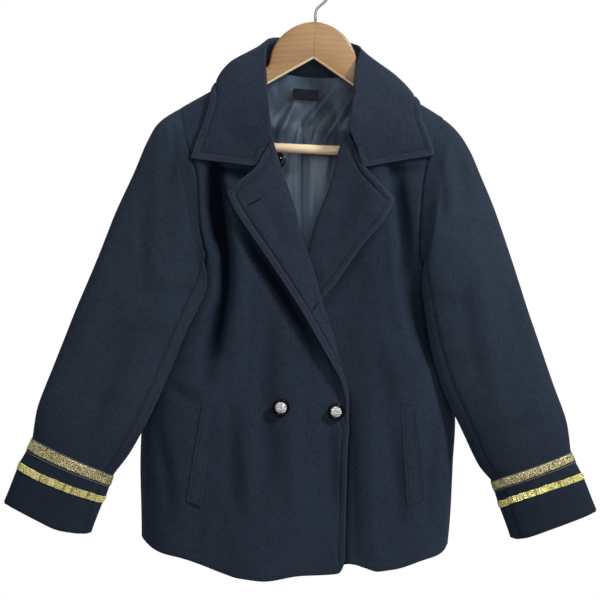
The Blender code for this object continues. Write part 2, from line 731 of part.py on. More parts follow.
def build():
    clear_scene()
    wool = make_material("navy_wool", (0.022, 0.028, 0.042), 0.9)
    satin = make_material("slate_satin", (0.075, 0.100, 0.130), 0.45)
    wood = make_material("clear_wood", (0.52, 0.31, 0.15), 0.45)
    wire = make_material("hook_wire", (0.70, 0.70, 0.72), 0.25, 1.0)
    gold = make_material("gold_glitter", (0.55, 0.42, 0.16), 0.35, 0.9)
    braid = make_material("gold_braid", (0.70, 0.55, 0.14), 0.4, 0.8)
    black = make_material("black_gloss", (0.01, 0.01, 0.012), 0.12)
    tape = make_material("label_tape", (0.02, 0.02, 0.025), 0.7)

    middle = Vector((-5.0, 0.0, -500.0))
    right = front_grid(ARMHOLE_R, SIDE_R, EDGE_R, LAPEL_R, HEM_DIP_R, front_y, -1.0)
    left = front_grid(ARMHOLE_L, SIDE_L, EDGE_L, LAPEL_L, HEM_DIP_L, under_y, 1.0)
    back = back_grid()
    sleeves = [sleeve_grid(ARMHOLE_R, SLEEVE_R), sleeve_grid(ARMHOLE_L, SLEEVE_L)]

    n_right = face_out(right, grid_normals(right), middle)
    n_left = face_out(left, grid_normals(left), middle)
    n_back = face_out(back, grid_normals(back), middle)
    n_sleeves = []
    for sleeve in sleeves:
        centre = sum(sleeve[7], Vector()) / RING_POINTS
        n_sleeves.append(face_out(sleeve, grid_normals(sleeve, True), centre))

    half = ARMHOLE_ROWS
    side_rows = range(half, len(right))
    for normals, column in ((n_right, 0), (n_left, 0), (n_back, 0), (n_back, -1)):
        flatten(normals, side_rows, column)
    for normals in (n_right, n_left, n_back):
        for j in range(len(normals[0])):
            normal = normals[0][j].copy()
            normal.y = 0.0
            normals[0][j] = normal.normalized()

    front_turns = list(range(0, half + 1))
    back_turns = [0] + list(range(RING_POINTS - 1, half - 1, -1))
    for panel, column, sleeve, turns in (
            (n_right, 0, n_sleeves[0], front_turns), (n_left, 0, n_sleeves[1], front_turns),
            (n_back, 0, n_sleeves[0], back_turns), (n_back, -1, n_sleeves[1], back_turns)):
        share_armhole(panel, column, sleeve, turns)

    for grid, edges in ((right, ("left", "top")), (left, ("left", "top")),
                        (back, ("left", "right", "top"))):
        for edge in edges:
            draw_in(grid, edge, GAP)
    for sleeve in sleeves:
        draw_in(sleeve, "top", GAP)
    draw_in_underarm(((right, "left"), (back, "left")), sleeves[0])
    draw_in_underarm(((left, "left"), (back, "right")), sleeves[1])

    make_wall("front_right", right, n_right, WOOL, wool)
    make_wall("front_left", left, n_left, WOOL, wool)
    make_wall("back", back, n_back, WOOL, wool)
    for side, sleeve, normals in zip(("right", "left"), sleeves, n_sleeves):
        make_wall("sleeve_" + side, sleeve, normals, WOOL, wool, True)
        lift = WOOL / 2.0 + GAP + TRIM_THICK / 2.0
        for trim, rows, finish in (("band_", BAND_ROWS, gold), ("braid_", BRAID_ROWS, braid)):
            ring, ring_normals = band_grid(sleeve, normals, rows, lift)
            make_wall(trim + side, ring, ring_normals, TRIM_THICK, finish, True)

    collar = collar_grid()
    make_wall("collar", collar, grid_normals(collar), FOLDED_WOOL, wool)
    for name, rows, depth, outward in (("lapel_right", LAPEL_R, front_y, -1.0),
                                       ("lapel_left", LAPEL_L, under_y, 1.0)):
        lapel = lapel_grid(rows, depth, outward)
        make_wall(name, lapel, grid_normals(lapel), FOLDED_WOOL, wool)

    make_lining(satin)
    make_label(tape)
    for name, ends, depth in (("welt_right", WELT_R, front_y), ("welt_left", WELT_L, under_y)):
        lift = WOOL / 2.0 + GAP + WELT_THICK / 2.0
        make_strip(name, ends, WELT_WIDTH, WELT_THICK, lift, depth, wool)
    for name, place in (("button_right", BUTTON_R), ("button_left", BUTTON_L)):
        make_button(name, place, front_y(*place) - WOOL / 2.0 - GAP, -1.0, black)
    y_spare = front_y(*BUTTON_SPARE) + WOOL / 2.0 + 2.0 * GAP
    make_button("button_spare", BUTTON_SPARE, y_spare, 1.0, black)
    make_hanger(wood, wire)


def lining_y(x, z):
    return back_y(x, z) - LINING_INSET


def make_lining(satin):
    """The back's satin lining, from the neck seam to just above the hem."""
    grid = []
    for i in range(LINING_CELLS + 1):
        share = i / LINING_CELLS
        line = []
        for j in range(LINING_CELLS + 1):
            along = j / LINING_CELLS
            z = mix(-200.0, -800.0, share)
            x = mix(read(ROUND_R if z < -430 else ARMHOLE_R, z) + 32.0,
                    read(ROUND_L if z < -430 else ARMHOLE_L, z) - 32.0, along)
            top = min(neck_curve(x) - 3.0, shoulder_height(x) - 30.0)
            rise = (top - z) * (1.0 - share) ** 6
            dip = 45.0 * math.sin(math.pi * along) ** 0.8 * share ** 3
            z = z + rise - dip
            line.append(Vector((x, lining_y(x, z), z)))
        grid.append(line)
    make_wall("lining_back", grid, grid_normals(grid), SATIN, satin)


def make_label(tape):
    x, z, width, height = LABEL
    lift = SATIN / 2.0 + 4.0 * GAP + LABEL_THICK / 2.0
    grid = []
    for i in range(3):
        line = []
        for j in range(5):
            across = width * (j / 4.0 - 0.5)
            up = height * (0.5 - i / 2.0) - 0.09 * across
            line.append(Vector((x + across, lining_y(x + across, z + up) - lift, z + up)))
        grid.append(line)
    make_wall("label", grid, grid_normals(grid), LABEL_THICK, tape)


build()
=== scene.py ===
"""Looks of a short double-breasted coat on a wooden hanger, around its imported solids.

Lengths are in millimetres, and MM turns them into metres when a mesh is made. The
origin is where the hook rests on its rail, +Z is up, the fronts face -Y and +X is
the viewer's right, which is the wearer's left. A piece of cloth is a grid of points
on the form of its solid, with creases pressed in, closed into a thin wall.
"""
import math

import bmesh
import bpy
import numpy as np
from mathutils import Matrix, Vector


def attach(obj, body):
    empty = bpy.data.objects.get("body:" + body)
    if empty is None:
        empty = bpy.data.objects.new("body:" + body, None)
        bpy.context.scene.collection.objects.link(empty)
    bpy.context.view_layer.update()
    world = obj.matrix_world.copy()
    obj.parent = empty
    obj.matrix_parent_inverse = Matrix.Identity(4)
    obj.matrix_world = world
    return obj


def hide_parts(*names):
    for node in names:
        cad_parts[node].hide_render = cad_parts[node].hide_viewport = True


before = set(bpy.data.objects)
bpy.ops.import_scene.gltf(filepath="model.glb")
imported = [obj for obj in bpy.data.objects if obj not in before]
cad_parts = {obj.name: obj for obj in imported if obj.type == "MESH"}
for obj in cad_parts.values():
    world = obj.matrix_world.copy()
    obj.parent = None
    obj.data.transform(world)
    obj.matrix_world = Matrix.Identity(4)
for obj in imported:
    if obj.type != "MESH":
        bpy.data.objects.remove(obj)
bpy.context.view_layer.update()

MM = 0.001            # a millimetre in metres

# --- driving sizes, as in the solids ---
WOOL = 2.2            # thickness of the wool
FOLDED_WOOL = 2.8     # collar and lapel: shell and facing together
SATIN = 0.8           # lining
GAP = 0.3             # left between pieces at a seam
RIDGE = 9.0           # half the depth of the cloth over the hanger's arm
CHEST = 36.0          # further depth of the fronts below the shoulder
BACK = 35.0           # further depth of the back below the shoulder
FILL = 80.0           # drop over which that depth builds up
SIDE_ROUND = 70.0     # width over which the body rounds to its side seams
SEAM_BACK = 14.0      # the side seams sit this far back, behind the sleeves
LAP = 12.0            # the under front lies this far behind the over front
TURN = 4.5            # width of the turned edge at a lapel's roll
TURN_GAP = 0.6        # across, from the turned edge to the panel behind it
PEAK_SOFT = 9.0       # rounds the shoulder line where it passes over the neck
ARM_DROP = 5.0        # depth of the strip of a panel that lies over the hanger's arm
SLEEVE_ROOM = 5.0     # from the back of a sleeve to the front panel behind it
PRESS_SOFT = 5.0      # how softly a sleeve presses the panel behind it
PRESS_TOP = -398.0    # below this height the sleeves press the fronts back
CHEST_LINE = -436.0   # height of the armholes' lowest points, level at the front edge
LINING_INSET = 4.5    # from the back's middle surface to the lining's
LINING_SIDE = 32.0    # the lining ends this far inside the armholes and the sides
BACK_DIP = 40.0       # the back's hem hangs this far below its side seams
NECK_MIDDLE, NECK_HALF, NECK_LOW, NECK_TILT = -5.0, 71.0, -139.0, -0.069
INSIDE_NECK = (-5.0, 0.0, -200.0)
UNDER_ARM = 10.0      # place of an armhole's foot; 0 is the shoulder, 1 below the hanger's arm
DOWN_POWER = 1.15     # spreads the rows below the armhole a little wider towards the hem
STITCH_IN = 9.0       # from a finished edge to its row of stitching

# --- how finely each kind of piece is made ---
PANEL_STRIP, PANEL_ARMHOLE, PANEL_BELOW = 4, 52, 88     # rows
PANEL_COLUMNS = 84
BACK_COLUMNS = 120
SLEEVE_TURNS = 104
SLEEVE_ROWS = 150
COLLAR_STATIONS, COLLAR_ACROSS = 170, 44
LAPEL_ROWS, LAPEL_ACROSS = 110, 52
LINING_CELLS = 110
RIM_STEPS = 4
END_EASE = 0.12       # share of a bar's radius by which its ends are eased

CREASE_DEPTH = 1.7    # every wool crease is this much deeper than its row says
SEAM_PULL = 2.0       # how far cloth is drawn in along a seam
FULL_SHADE_DEPTH = 11.0      # depth of a crease that gets the full painted shade
SEAM_SHADE = 0.75     # painted shade along an armhole's seam
NO_EDGE = 60.0        # distance that keeps a panel clear of edge stitching
PHASE_FRONT_R, PHASE_FRONT_L = 0.4, 1.9      # of the fronts' slack, which the welts follow

# --- outlines seen from the front: height, across ---
SHOULDER_R = [(-120.0, -76.0), (-188.4, -196.0)]
SHOULDER_L = [(-130.8, 66.0), (-203.0, 186.3)]

ARMHOLE_R = [(-188.4, -196), (-235, -188), (-266, -177), (-300, -170), (-354, -168),
             (-389, -162), (-405, -158), (-417, -161), (-426, -172), (-430, -187)]
ARMHOLE_L = [(-203.0, 186.3), (-235, 174), (-266, 164), (-300, 157), (-335, 154),
             (-375, 152), (-403, 153), (-417, 158), (-428, 170), (-432, 184)]

SIDE_R = [(-430, -187), (-480, -207), (-545, -228), (-605, -244), (-659, -252),
          (-720, -253), (-812, -253)]
SIDE_L = [(-432, 184), (-480, 192), (-545, 199), (-600, 203), (-640, 204),
          (-700, 201), (-760, 197), (-824, 192)]

# Where the body's roundness ends: the sides, and above them the sleeve's outline.
ROUND_R = [(-189, -250), (-280, -252), (-340, -232), (-395, -202), (-430, -187)] + SIDE_R[1:]
ROUND_L = [(-203, 235), (-280, 240), (-340, 222), (-395, 198), (-432, 184)] + SIDE_L[1:]

EDGE_R = [(-121, -76), (-163, -77), (-200, -73), (-232, -68), (-254, -61), (-275, -53),
          (-305, -44), (-354, -29), (-393, -18), (-438, -3), (-467, 5), (-508, 18),
          (-543, 28), (-588, 40), (-612, 48), (-653, 49), (-681, 47), (-757, 45), (-844, 43)]
EDGE_L = [(-130.8, 66), (-165, 65), (-195, 64), (-222, 61), (-242, 47), (-279, 34),
          (-312, 24), (-344, 11), (-393, -4), (-430, -15), (-480, -30), (-530, -46),
          (-580, -60), (-610, -68), (-700, -70), (-866, -70)]

# How far the hem hangs below a straight line from the side to the front edge.
HEM_DIP_R = [(0.0, 0), (0.03, 8), (0.06, 14), (0.11, 19), (0.2, 22.5), (0.29, 28.5), (0.39, 37),
             (0.48, 43), (0.58, 44), (0.78, 30), (0.91, 24), (0.97, 20), (0.99, 12), (1.0, 0)]
HEM_DIP_L = [(0.0, 0), (0.012, 5), (0.03, 9), (0.06, 12), (0.13, 14.5), (0.29, 21), (0.38, 20.5),
             (0.45, 13), (0.52, 4.5), (0.58, 1.5), (0.8, -0.8), (1.0, 0)]

# The two deep folds under the collar: height, across, depth.
FOLD_R = [(-270, -145, 0), (-300, -145, 9), (-366, -138, 9), (-399, -130, 8),
          (-450, -132, 6), (-536, -148, 3), (-570, -156, 0)]
FOLD_L = [(-250, 116, 0), (-290, 121, 7), (-360, 133, 8), (-408, 136, 8),
          (-453, 134, 7), (-518, 154, 4), (-575, 176, 0)]
FOLD_WIDTH = 15.0

# --- sleeves, from the row below the armhole to the cuff's hem ---
# Depth of the outer and the inner edge, and reach forward and back, the same on both sleeves.
SLEEVE_DEPTHS = [
    (-2, -41, 34, 58), (-6, -46, 32, 52), (-11, -47, 30, 45), (-17, -46, 29, 39),
    (-24, -45, 28, 34), (-30, -42, 27, 30), (-34, -41, 26, 27), (-37, -40, 26, 26),
    (-38, -39, 25, 25), (-37, -38, 25, 25), (-37, -37, 25, 25), (-36, -36, 24, 24),
    (-36, -36, 24, 24), (-35, -35, 23, 23),
]
# Outer edge and inner edge, each across and up, and how far the row sags.
EDGES_R = [
    (-215, -200, -165, -411, 0), (-230, -213, -159, -424, 0), (-244, -238, -157, -436, 0),
    (-262, -281, -158, -450, 0), (-290, -343, -168, -474, 0), (-316, -410, -187, -514, 0),
    (-344, -476, -209, -566, 0), (-377, -560, -239, -633, 0), (-403, -629, -271, -691, 1),
    (-410, -670, -294, -722, 3), (-416, -683, -298, -733, 4), (-427, -702, -304, -750, 6),
    (-431, -711, -308, -758, 7), (-450, -762, -326, -803, 13),
]
EDGES_L = [
    (199, -214, 162, -412, 0), (213, -230, 157, -427, 0), (226, -252, 155, -443, 0),
    (241, -288, 157, -464, 0), (257, -328, 161, -492, 0), (287, -415, 169, -538, 0),
    (312, -494, 184, -590, 0), (343, -584, 212, -652, 0), (365, -648, 240, -709, 2),
    (371, -690, 257, -730, 2), (375.5, -699.5, 260, -740, 2), (386, -719.5, 266, -759, -1),
    (390, -727.5, 269, -767.5, -1), (407, -774, 285, -811, 9),
]
SLEEVE_R, SLEEVE_L = [[(*row[:4], *depth, row[4]) for row, depth in zip(edges, SLEEVE_DEPTHS)]
                      for edges in (EDGES_R, EDGES_L)]
BAND_ROWS = (10, 11)      # rows between which the wide band lies; row 0 is the armhole
BRAID_ROWS = (12, 13)
# How the front of each cuff's hem sags, from its outer to its inner end.
CUFF_SAG_R = [(0.0, -0.2), (0.03, 0.0), (0.2, 0.32), (0.4, 0.66), (0.6, 0.94), (0.8, 0.7),
              (0.94, 0.36), (1.0, 0.05)]
CUFF_SAG_L = [(0.0, -0.35), (0.03, -0.05), (0.08, 0.1), (0.3, 0.34), (0.55, 0.54), (0.8, 0.74),
              (0.93, 0.52), (1.0, 0.0)]
SLEEVE_SEAM = 0.9         # place of the forearm seam, from the outer to the inner edge
STRIP_SHADE = 1.0         # painted shade on the right sleeve where it turns in to its armhole

# --- collar: fold line, outer edge, outward bulge, belly of the lower edge ---
COLLAR_R = [
    (-63, -44, -231, -179, -38, -261, 0, 33),
    (-66, -42, -202, -170, -34, -234, 0, 14),
    (-69, -36, -172, -160, -29, -208, 2, 5),
    (-71, -27, -145, -154, -24, -187, 4, 1),
    (-72, -14, -120, -151, -19, -172, 6, 0),
    (-72, 0, -97, -148, 3, -158, 14, 0),
    (-69, 15, -87, -134, 23, -165, 19, 0),
    (-58, 28, -83, -98, 29, -171, 12, 0),
    (-36, 36, -83, -52, 36, -173, 8, 0),
]
COLLAR_BACK = (-5, 38, -84, -5, 40, -173, 4, 0)
COLLAR_L = [
    (50, -43, -219, 173, -37, -256, 0, 45),
    (53, -42, -197, 167, -34, -237, 0, 22),
    (56, -36, -174, 161, -29, -219, 2, 8),
    (58, -27, -148, 155, -24, -203, 4, 2),
    (61, -14, -122, 153, -19, -189, 8, 0),
    (67, 0, -103, 150, 3, -177, 6, 0),
    (62, 15, -94, 124, 23, -183, 6, 0),
    (48, 28, -89, 88, 29, -180, 5, 0),
    (26, 36, -86, 42, 36, -176, 5, 0),
]
NOTCH = 0.29              # share of the way from fold to outer edge where the lower edge sags most

# --- lapels: roll line, outer edge ---
LAPEL_R = [
    (-62, -234, -126, -311), (-54, -262, -118, -331), (-43, -296, -104, -354),
    (-31, -330, -80, -389), (-20, -371, -61, -417), (-4, -420, -43, -444),
    (9, -467, -17, -485), (23, -508, 3, -520), (33, -545, 18, -547),
    (38.5, -565, 27, -563), (42.5, -582, 35, -578), (46, -599, 41, -595),
    (47.6, -618, 45.6, -615), (46.8, -645, 45.9, -644),
]
LAPEL_L = [
    (48, -224, 115, -322), (38, -242, 108, -336), (29, -279, 96, -355),
    (19, -312, 72, -383), (6, -344, 52, -410), (-8, -393, 30, -441),
    (-18, -430, 10, -465), (-30, -470, -12, -492), (-42, -508, -32, -515),
]
LAPEL_BELLY = 8.5         # how far the lapel's top edge sags at its corner
LAPEL_CORNER = 0.47       # share of the way from the roll to the edge where that corner is
LAPEL_SPRING = 3.0        # how far the lapel's middle stands off the front

# --- creases placed one by one: half width, depth inwards, then points across and height
CREASES_FRONT_R = [
    (9, 5.6, (-146, -284), (-143, -330), (-131, -399), (-131, -450), (-138, -500), (-148, -560)),
    (11, 7.0, (-150, -244), (-147, -290), (-143, -330), (-136, -385)),
    (16, 2.0, (-158, -272), (-155, -315), (-150, -352), (-142, -405)),
    (9, 3.6, (-150, -274), (-124, -281), (-92, -282)),
    (11, 2.4, (-122, -340), (-90, -395), (-53, -450), (-27, -492), (-6, -528), (8, -560)),
    (13, 2.8, (-142, -470), (-150, -536), (-158, -600)),
    (12, -2.0, (-118, -330), (-108, -430), (-112, -520), (-122, -600)),
    (11, 2.0, (-118, -620), (-117, -705), (-114, -785)),
    (9, -1.5, (-98, -620), (-97, -705), (-94, -790)),
    (10, 2.2, (22, -640), (27, -700), (30, -785)),
    (14, 2.0, (-62, -470), (-68, -600), (-60, -760)),
    (14, -1.6, (-30, -560), (-34, -700), (-28, -830)),
    (11, 1.6, (-214, -590), (-192, -603), (-166, -614)),
    (10, 1.6, (-232, -640), (-214, -720), (-208, -800)),
    (9, -1.0, (-150, -780), (-156, -830), (-160, -860)),
]
# Painted shade and shadow on the fronts: beside the turned lapels, under the collar, down the deep fold below
# it, and broadly over the lower right front.
SHADES = [
    (10, 0.85, (-122, -340), (-90, -395), (-53, -450), (-27, -492), (-6, -528), (10, -562)),
    (9, 0.35, (98, -352), (70, -392), (48, -424), (22, -462), (2, -486)),
    (8, 0.45, (-140, -276), (-118, -282), (-94, -286)),
    (9, 0.6, (-122, -296), (-104, -286), (-82, -272)),
    (75, 0.17, (-150, -560), (-140, -800), (-135, -1060)),
    (15, 0.45, (-141, -250), (-141, -320), (-136, -400)),
]
CREASES_FRONT_L = [
    (9, 4.3, (112, -256), (120, -300), (128, -350), (132, -400), (130, -446)),
    (8, 2.6, (94, -281), (126, -280), (164, -271)),
    (12, 3.2, (132, -440), (153, -518), (172, -565)),
    (10, 2.6, (146, -425), (161, -485), (176, -552)),
    (10, -2.0, (112, -350), (114, -430), (124, -510)),
    (10, 2.6, (54, -600), (53, -720), (59, -850)),
    (12, -1.8, (83, -600), (82, -730), (86, -850)),
    (11, 2.2, (112, -640), (121, -720), (128, -800)),
    (9, 1.4, (176, -640), (172, -720), (168, -800)),
    (14, 1.5, (88, -520), (104, -580), (112, -640)),
]
CREASES_BACK = [
    (13, 5.0, (-140, -250), (-150, -340), (-158, -430)),
    (12, 4.6, (138, -258), (146, -345), (152, -435)),
    (15, 4.0, (-156, -440), (-122, -560), (-104, -700)),
    (14, 3.8, (158, -450), (128, -570), (116, -710)),
    (16, 3.2, (-56, -520), (-62, -690), (-52, -840)),
    (14, -2.8, (6, -440), (12, -640), (2, -830)),
    (15, 3.0, (60, -560), (56, -720), (66, -850)),
    (12, 2.6, (-186, -600), (-176, -720), (-178, -820)),
    (13, -2.4, (-20, -190), (-26, -320), (-18, -430)),
    (12, 2.4, (172, -630), (162, -740), (164, -810)),
    (14, 2.6, (-100, -196), (-60, -214), (-8, -222)),
    (12, 2.2, (90, -200), (50, -216), (6, -226)),
    (10, -2.0, (-84, -330), (-92, -440), (-84, -560)),
]
CREASES_SLEEVE_R = [
    (10, 1.5, (-247, -330), (-248, -395), (-244, -462)),
    (13, 0.9, (-176, -446), (-214, -456), (-262, -450)),
    (14, 0.8, (-200, -512), (-246, -516), (-296, -504)),
    (14, -0.9, (-300, -400), (-322, -480), (-350, -560)),
    (15, 1.0, (-262, -520), (-296, -600), (-330, -680)),
    (12, 0.7, (-262, -614), (-300, -608), (-340, -594)),
    (8, 1.2, (-200, -215), (-204, -262), (-214, -312)),
    (9, -0.8, (-226, -250), (-232, -310), (-230, -370)),
]
CREASES_SLEEVE_L = [
    (8, 2.4, (171, -250), (183, -282), (188, -320), (186, -360)),
    (13, -1.4, (238, -400), (246, -500), (262, -600), (286, -680)),
    (12, 1.1, (216, -430), (224, -520), (244, -600)),
    (14, 0.9, (166, -458), (204, -474), (240, -462)),
    (14, 0.7, (184, -562), (222, -558), (262, -542)),
    (13, 0.9, (280, -440), (300, -520), (318, -600)),
    (12, 0.7, (236, -664), (280, -654), (322, -638)),
    (9, 1.0, (206, -236), (218, -290), (222, -350)),
]
CREASES_COLLAR = [
    (15, 1.3, (-130, -196), (-112, -226), (-96, -250)),
    (14, 1.2, (120, -205), (104, -236), (92, -262)),
    (16, -1.2, (-92, -150), (-100, -190), (-96, -226)),
    (15, -1.0, (96, -160), (104, -200), (98, -240)),
]
CREASES_LAPEL_R = [
    (12, 1.2, (-84, -300), (-60, -350), (-34, -402)),
    (14, -1.1, (-98, -322), (-70, -376), (-42, -426)),
    (9, 1.0, (-6, -450), (10, -490), (22, -520)),
]
CREASES_LAPEL_L = [
    (13, 1.3, (70, -300), (48, -348), (22, -400)),
    (12, -1.1, (92, -330), (60, -376), (28, -424)),
    (9, 0.9, (8, -420), (-8, -456), (-22, -486)),
]
CREASES_LINING = [
    (2.6, 4.6, (-16, -176), (-20, -220), (-22, -280), (-22, -330), (-18, -420)),
    (7.0, -1.4, (-4, -190), (-6, -230), (-6, -280), (-6, -330), (-3, -420)),
    (5.0, 4.6, (24, -148), (4, -172), (-26, -206), (-46, -246)),
    (4.5, -3.6, (34, -150), (12, -178), (-18, -214), (-34, -256)),
    (5.0, 4.4, (50, -152), (34, -178), (10, -210), (-8, -246)),
    (4.5, -3.4, (56, -166), (40, -192), (20, -222), (4, -256)),
    (6.0, 4.4, (58, -184), (46, -210), (34, -244), (22, -300)),
    (5.0, 4.2, (-34, -172), (-46, -186), (-58, -206), (-66, -232)),
    (4.5, -3.4, (-28, -178), (-38, -198), (-50, -224), (-58, -256)),
    (5.0, 3.6, (-24, -196), (-34, -224), (-46, -262), (-50, -310)),
    (8.0, 3.0, (-70, -420), (-64, -520), (-70, -640)),
    (9.0, 3.0, (60, -440), (54, -560), (62, -700)),
    (9.0, -2.6, (-10, -500), (-14, -620), (-6, -760)),
]

# --- trims ---
BUTTON_RADIUS = 12.6
JEWEL_RADIUS = 8.4
BUTTON_LEAN = (0.20, -0.14)      # how far a button faces towards +X and up
BUTTON_R = (-50.0, -623.0)
BUTTON_L = (30.0, -629.0)
BUTTON_SPARE = (-55.5, -264.0)
WELT_R = [(-163.3, -618.2), (-146.9, -632.0), (-186.6, -758.1), (-165.3, -767.6)]
WELT_L = [(123.8, -614.4), (143.3, -616.5), (133.4, -767.0), (158.0, -757.4)]
LABEL = (-13.0, -166.5, 36.0, 15.0)      # middle across and up, width, height
TRIM_JOG = 1.0        # past the forearm seam the tapes sit this much lower
HOLES = [((-98.0, -331.0), (-78.5, -320.5)), ((-3.0, -482.5), (4.2, -470.5))]
HOLE_HALF = 0.7                  # half the width of a buttonhole
HOLE_THREAD = 0.65               # radius of its worked edge
PIPING = 0.75                    # radius of the piping beside the wide band
WELT_STITCH_IN = 4.5             # a welt's stitching lies this far in
LABEL_LIFT = 5.2                 # the label stands off the lining, clear of its folds

# --- the hanger ---
CROWN = Vector((0.7, 0.0, -62.0))
TILT = math.radians(2.8)
WOOD = 12.0
HOOK_RADIUS = 20.0
HOOK_WIRE = 4.0
HOOK_BEND = 6.0       # the hook starts to bend this far below its round
BAR_DROP = 185.4
BAR_DIAMETER = 14.0
BAR_REACH = 175.0
ARM_OUTLINE = [  # across, up
    (0.03, 1.6), (20, -1.8), (38.5, -12.4), (51, -25), (59.5, -39.5), (63, -52), (65, -66),
    (72, -71.5), (181, -136), (189, -147), (193, -160), (193, -190), (189, -195),
    (179, -195), (175, -190), (175, -165), (69, -96), (0.03, -53),
]
ARM_BEVEL = 3.5
ARM_SLOPE = 30.0      # degrees by which the wood's grain falls along an arm

# --- stage, in metres ---
CAMERA_AWAY = 6.0
SENSOR = 36.0
FRAME_WIDE = 0.870
FRAME_MIDDLE = Vector((-0.02175, 0.0, -0.4674))
CLOTH_FRONT = -0.045  # where the frame's width is measured
WORLD_LIGHT = 0.37
FLOOR_RADIUS, FLOOR_HEIGHT = 0.6, -1.8
LIGHTS = [            # name, place, diameter, power
    ("key", (1.75, -1.45, 1.2), 0.5, 70.0), ("fill", (0.5, -3.4, 0.5), 2.0, 28.0),
    ("top", (-0.3, 0.2, 2.2), 1.6, 20.0), ("rear", (0.6, 2.8, 0.6), 2.2, 44.0),
]


# --- reading tables and curves ---
def mix(a, b, share):
    return a + (b - a) * share


def ease(value):
    value = np.clip(value, 0.0, 1.0)
    return value * value * (3.0 - 2.0 * value)


def unit(vectors):
    return vectors / np.maximum(np.linalg.norm(vectors, axis=-1, keepdims=True), 1e-9)


def flowing(where, values, at):
    """Values read smoothly at places along, with no overshoot between rows."""
    step = np.diff(where)
    wide = (1,) * (values.ndim - 1)
    slope = np.diff(values, axis=0) / step.reshape((-1,) + wide)
    before, after = slope[:-1], slope[1:]
    same = before * after > 0.0
    inner = np.where(same, 2.0 * before * after / np.where(same, before + after, 1.0), 0.0)
    tangent = np.concatenate((slope[:1], inner, slope[-1:]))
    at = np.clip(at, where[0], where[-1])
    i = np.clip(np.searchsorted(where, at) - 1, 0, len(step) - 1)
    width = step[i].reshape(np.shape(at) + wide)
    t = ((at - where[i]) / step[i]).reshape(np.shape(at) + wide)
    return ((2 * t ** 3 - 3 * t ** 2 + 1) * values[i] + (t ** 3 - 2 * t ** 2 + t) * width * tangent[i]
            + (3 * t ** 2 - 2 * t ** 3) * values[i + 1] + (t ** 3 - t ** 2) * width * tangent[i + 1])


def read(table, key, column=1):
    rows = np.array(sorted(table), float)
    key = np.asarray(key, float)
    return flowing(rows[:, 0], rows[:, column], key.ravel()).reshape(key.shape)


def along_rows(rows, count):
    """A grid made finer down its rows: the new rows are evenly spaced on average."""
    gaps = np.linalg.norm(np.diff(rows, axis=0), axis=-1).reshape(len(rows) - 1, -1).mean(axis=1)
    where = np.concatenate(([0.0], np.cumsum(gaps)))
    return flowing(where, rows, np.linspace(0.0, where[-1], count))


def finer(rows, row_count, column_count):
    grid = along_rows(rows, row_count)
    return np.swapaxes(along_rows(np.swapaxes(grid, 0, 1), column_count), 0, 1)


def crease_field(x, z, creases):
    """Depth pressed into the cloth by listed creases, which fade at their ends."""
    total = np.zeros_like(x)
    for width, depth, *points in creases:
        points = np.array(points, float)
        steps = np.diff(points, axis=0)
        lengths = np.linalg.norm(steps, axis=1)
        starts = np.concatenate(([0.0], np.cumsum(lengths)))
        nearest = np.full(x.shape, 1e9)
        place = np.zeros_like(x)
        for (px, pz), (sx, sz), length, start in zip(points, steps, lengths, starts):
            t = np.clip(((x - px) * sx + (z - pz) * sz) / length ** 2, 0.0, 1.0)
            away = np.hypot(x - px - t * sx, z - pz - t * sz)
            closer = away < nearest
            nearest = np.where(closer, away, nearest)
            place = np.where(closer, (start + t * length) / starts[-1], place)
        s = nearest / width
        fade = np.clip(4.0 * place * (1.0 - place), 0.0, 1.0) ** 0.7
        total += depth * fade * (1.0 - 0.4 * s * s) * np.exp(-s * s / 1.4)
    return total


def slack(x, z, phase):
    """The gentle unevenness of hanging cloth."""
    return (0.5 * np.sin(x / 31.0 + z / 74.0 + phase) + 0.45 * np.sin(x / 19.0 - z / 57.0 + 2.0 * phase)
            + 0.4 * np.sin(x / 47.0 - z / 33.0 + 3.1 * phase) + 0.2 * np.sin(x / 11.0 + z / 23.0 + phase))


def distance_to(grid, *lines):
    """From each point of a grid to the nearest point of some lines."""
    line = np.concatenate([np.asarray(one).reshape(-1, 3) for one in lines])
    flat = grid.reshape(-1, 3)
    nearest = np.full(len(flat), 1e9)
    for start in range(0, len(line), 40):
        gap = np.linalg.norm(flat[:, None] - line[None, start:start + 40], axis=-1).min(axis=1)
        nearest = np.minimum(nearest, gap)
    return nearest.reshape(grid.shape[:2])


def armhole_seam(grid, *lines):
    """1 on the armhole's seam and 0 beside it; fainter over the shoulder, where it lies flat."""
    near = np.exp(-(distance_to(grid, *lines) / 3.0) ** 2)
    return near * mix(0.25, 1.0, ease((-225.0 - grid[..., 2]) / 40.0))


def edge_ridge(distance, twice=0.0):
    """Height of a folded edge: padded out to its stitching, with a groove along that."""
    padded = 1.1 * ease((STITCH_IN - distance) / 3.0)
    groove = 1.6 * np.exp(-((distance - STITCH_IN) / 1.8) ** 2)
    return padded - groove - twice * np.exp(-((distance - 0.5 * STITCH_IN) / 1.1) ** 2)


# --- the form of the body ---
def shoulder_height(x):
    total = 0.0
    for (inner_z, inner_x), (outer_z, outer_x) in (SHOULDER_R, SHOULDER_L):
        slope_z = mix(inner_z, outer_z, (x - inner_x) / (outer_x - inner_x))
        total = total + np.exp(-slope_z / PEAK_SOFT)
    return -PEAK_SOFT * np.log(total)


def neck_curve(x):
    line = shoulder_height(x)
    off = np.abs(x - NECK_MIDDLE) / NECK_HALF
    low = NECK_LOW + (x - NECK_MIDDLE) * NECK_TILT
    return np.where(off >= 1.0, line, np.minimum(line, mix(low, line, np.minimum(off, 1.0) ** 4)))


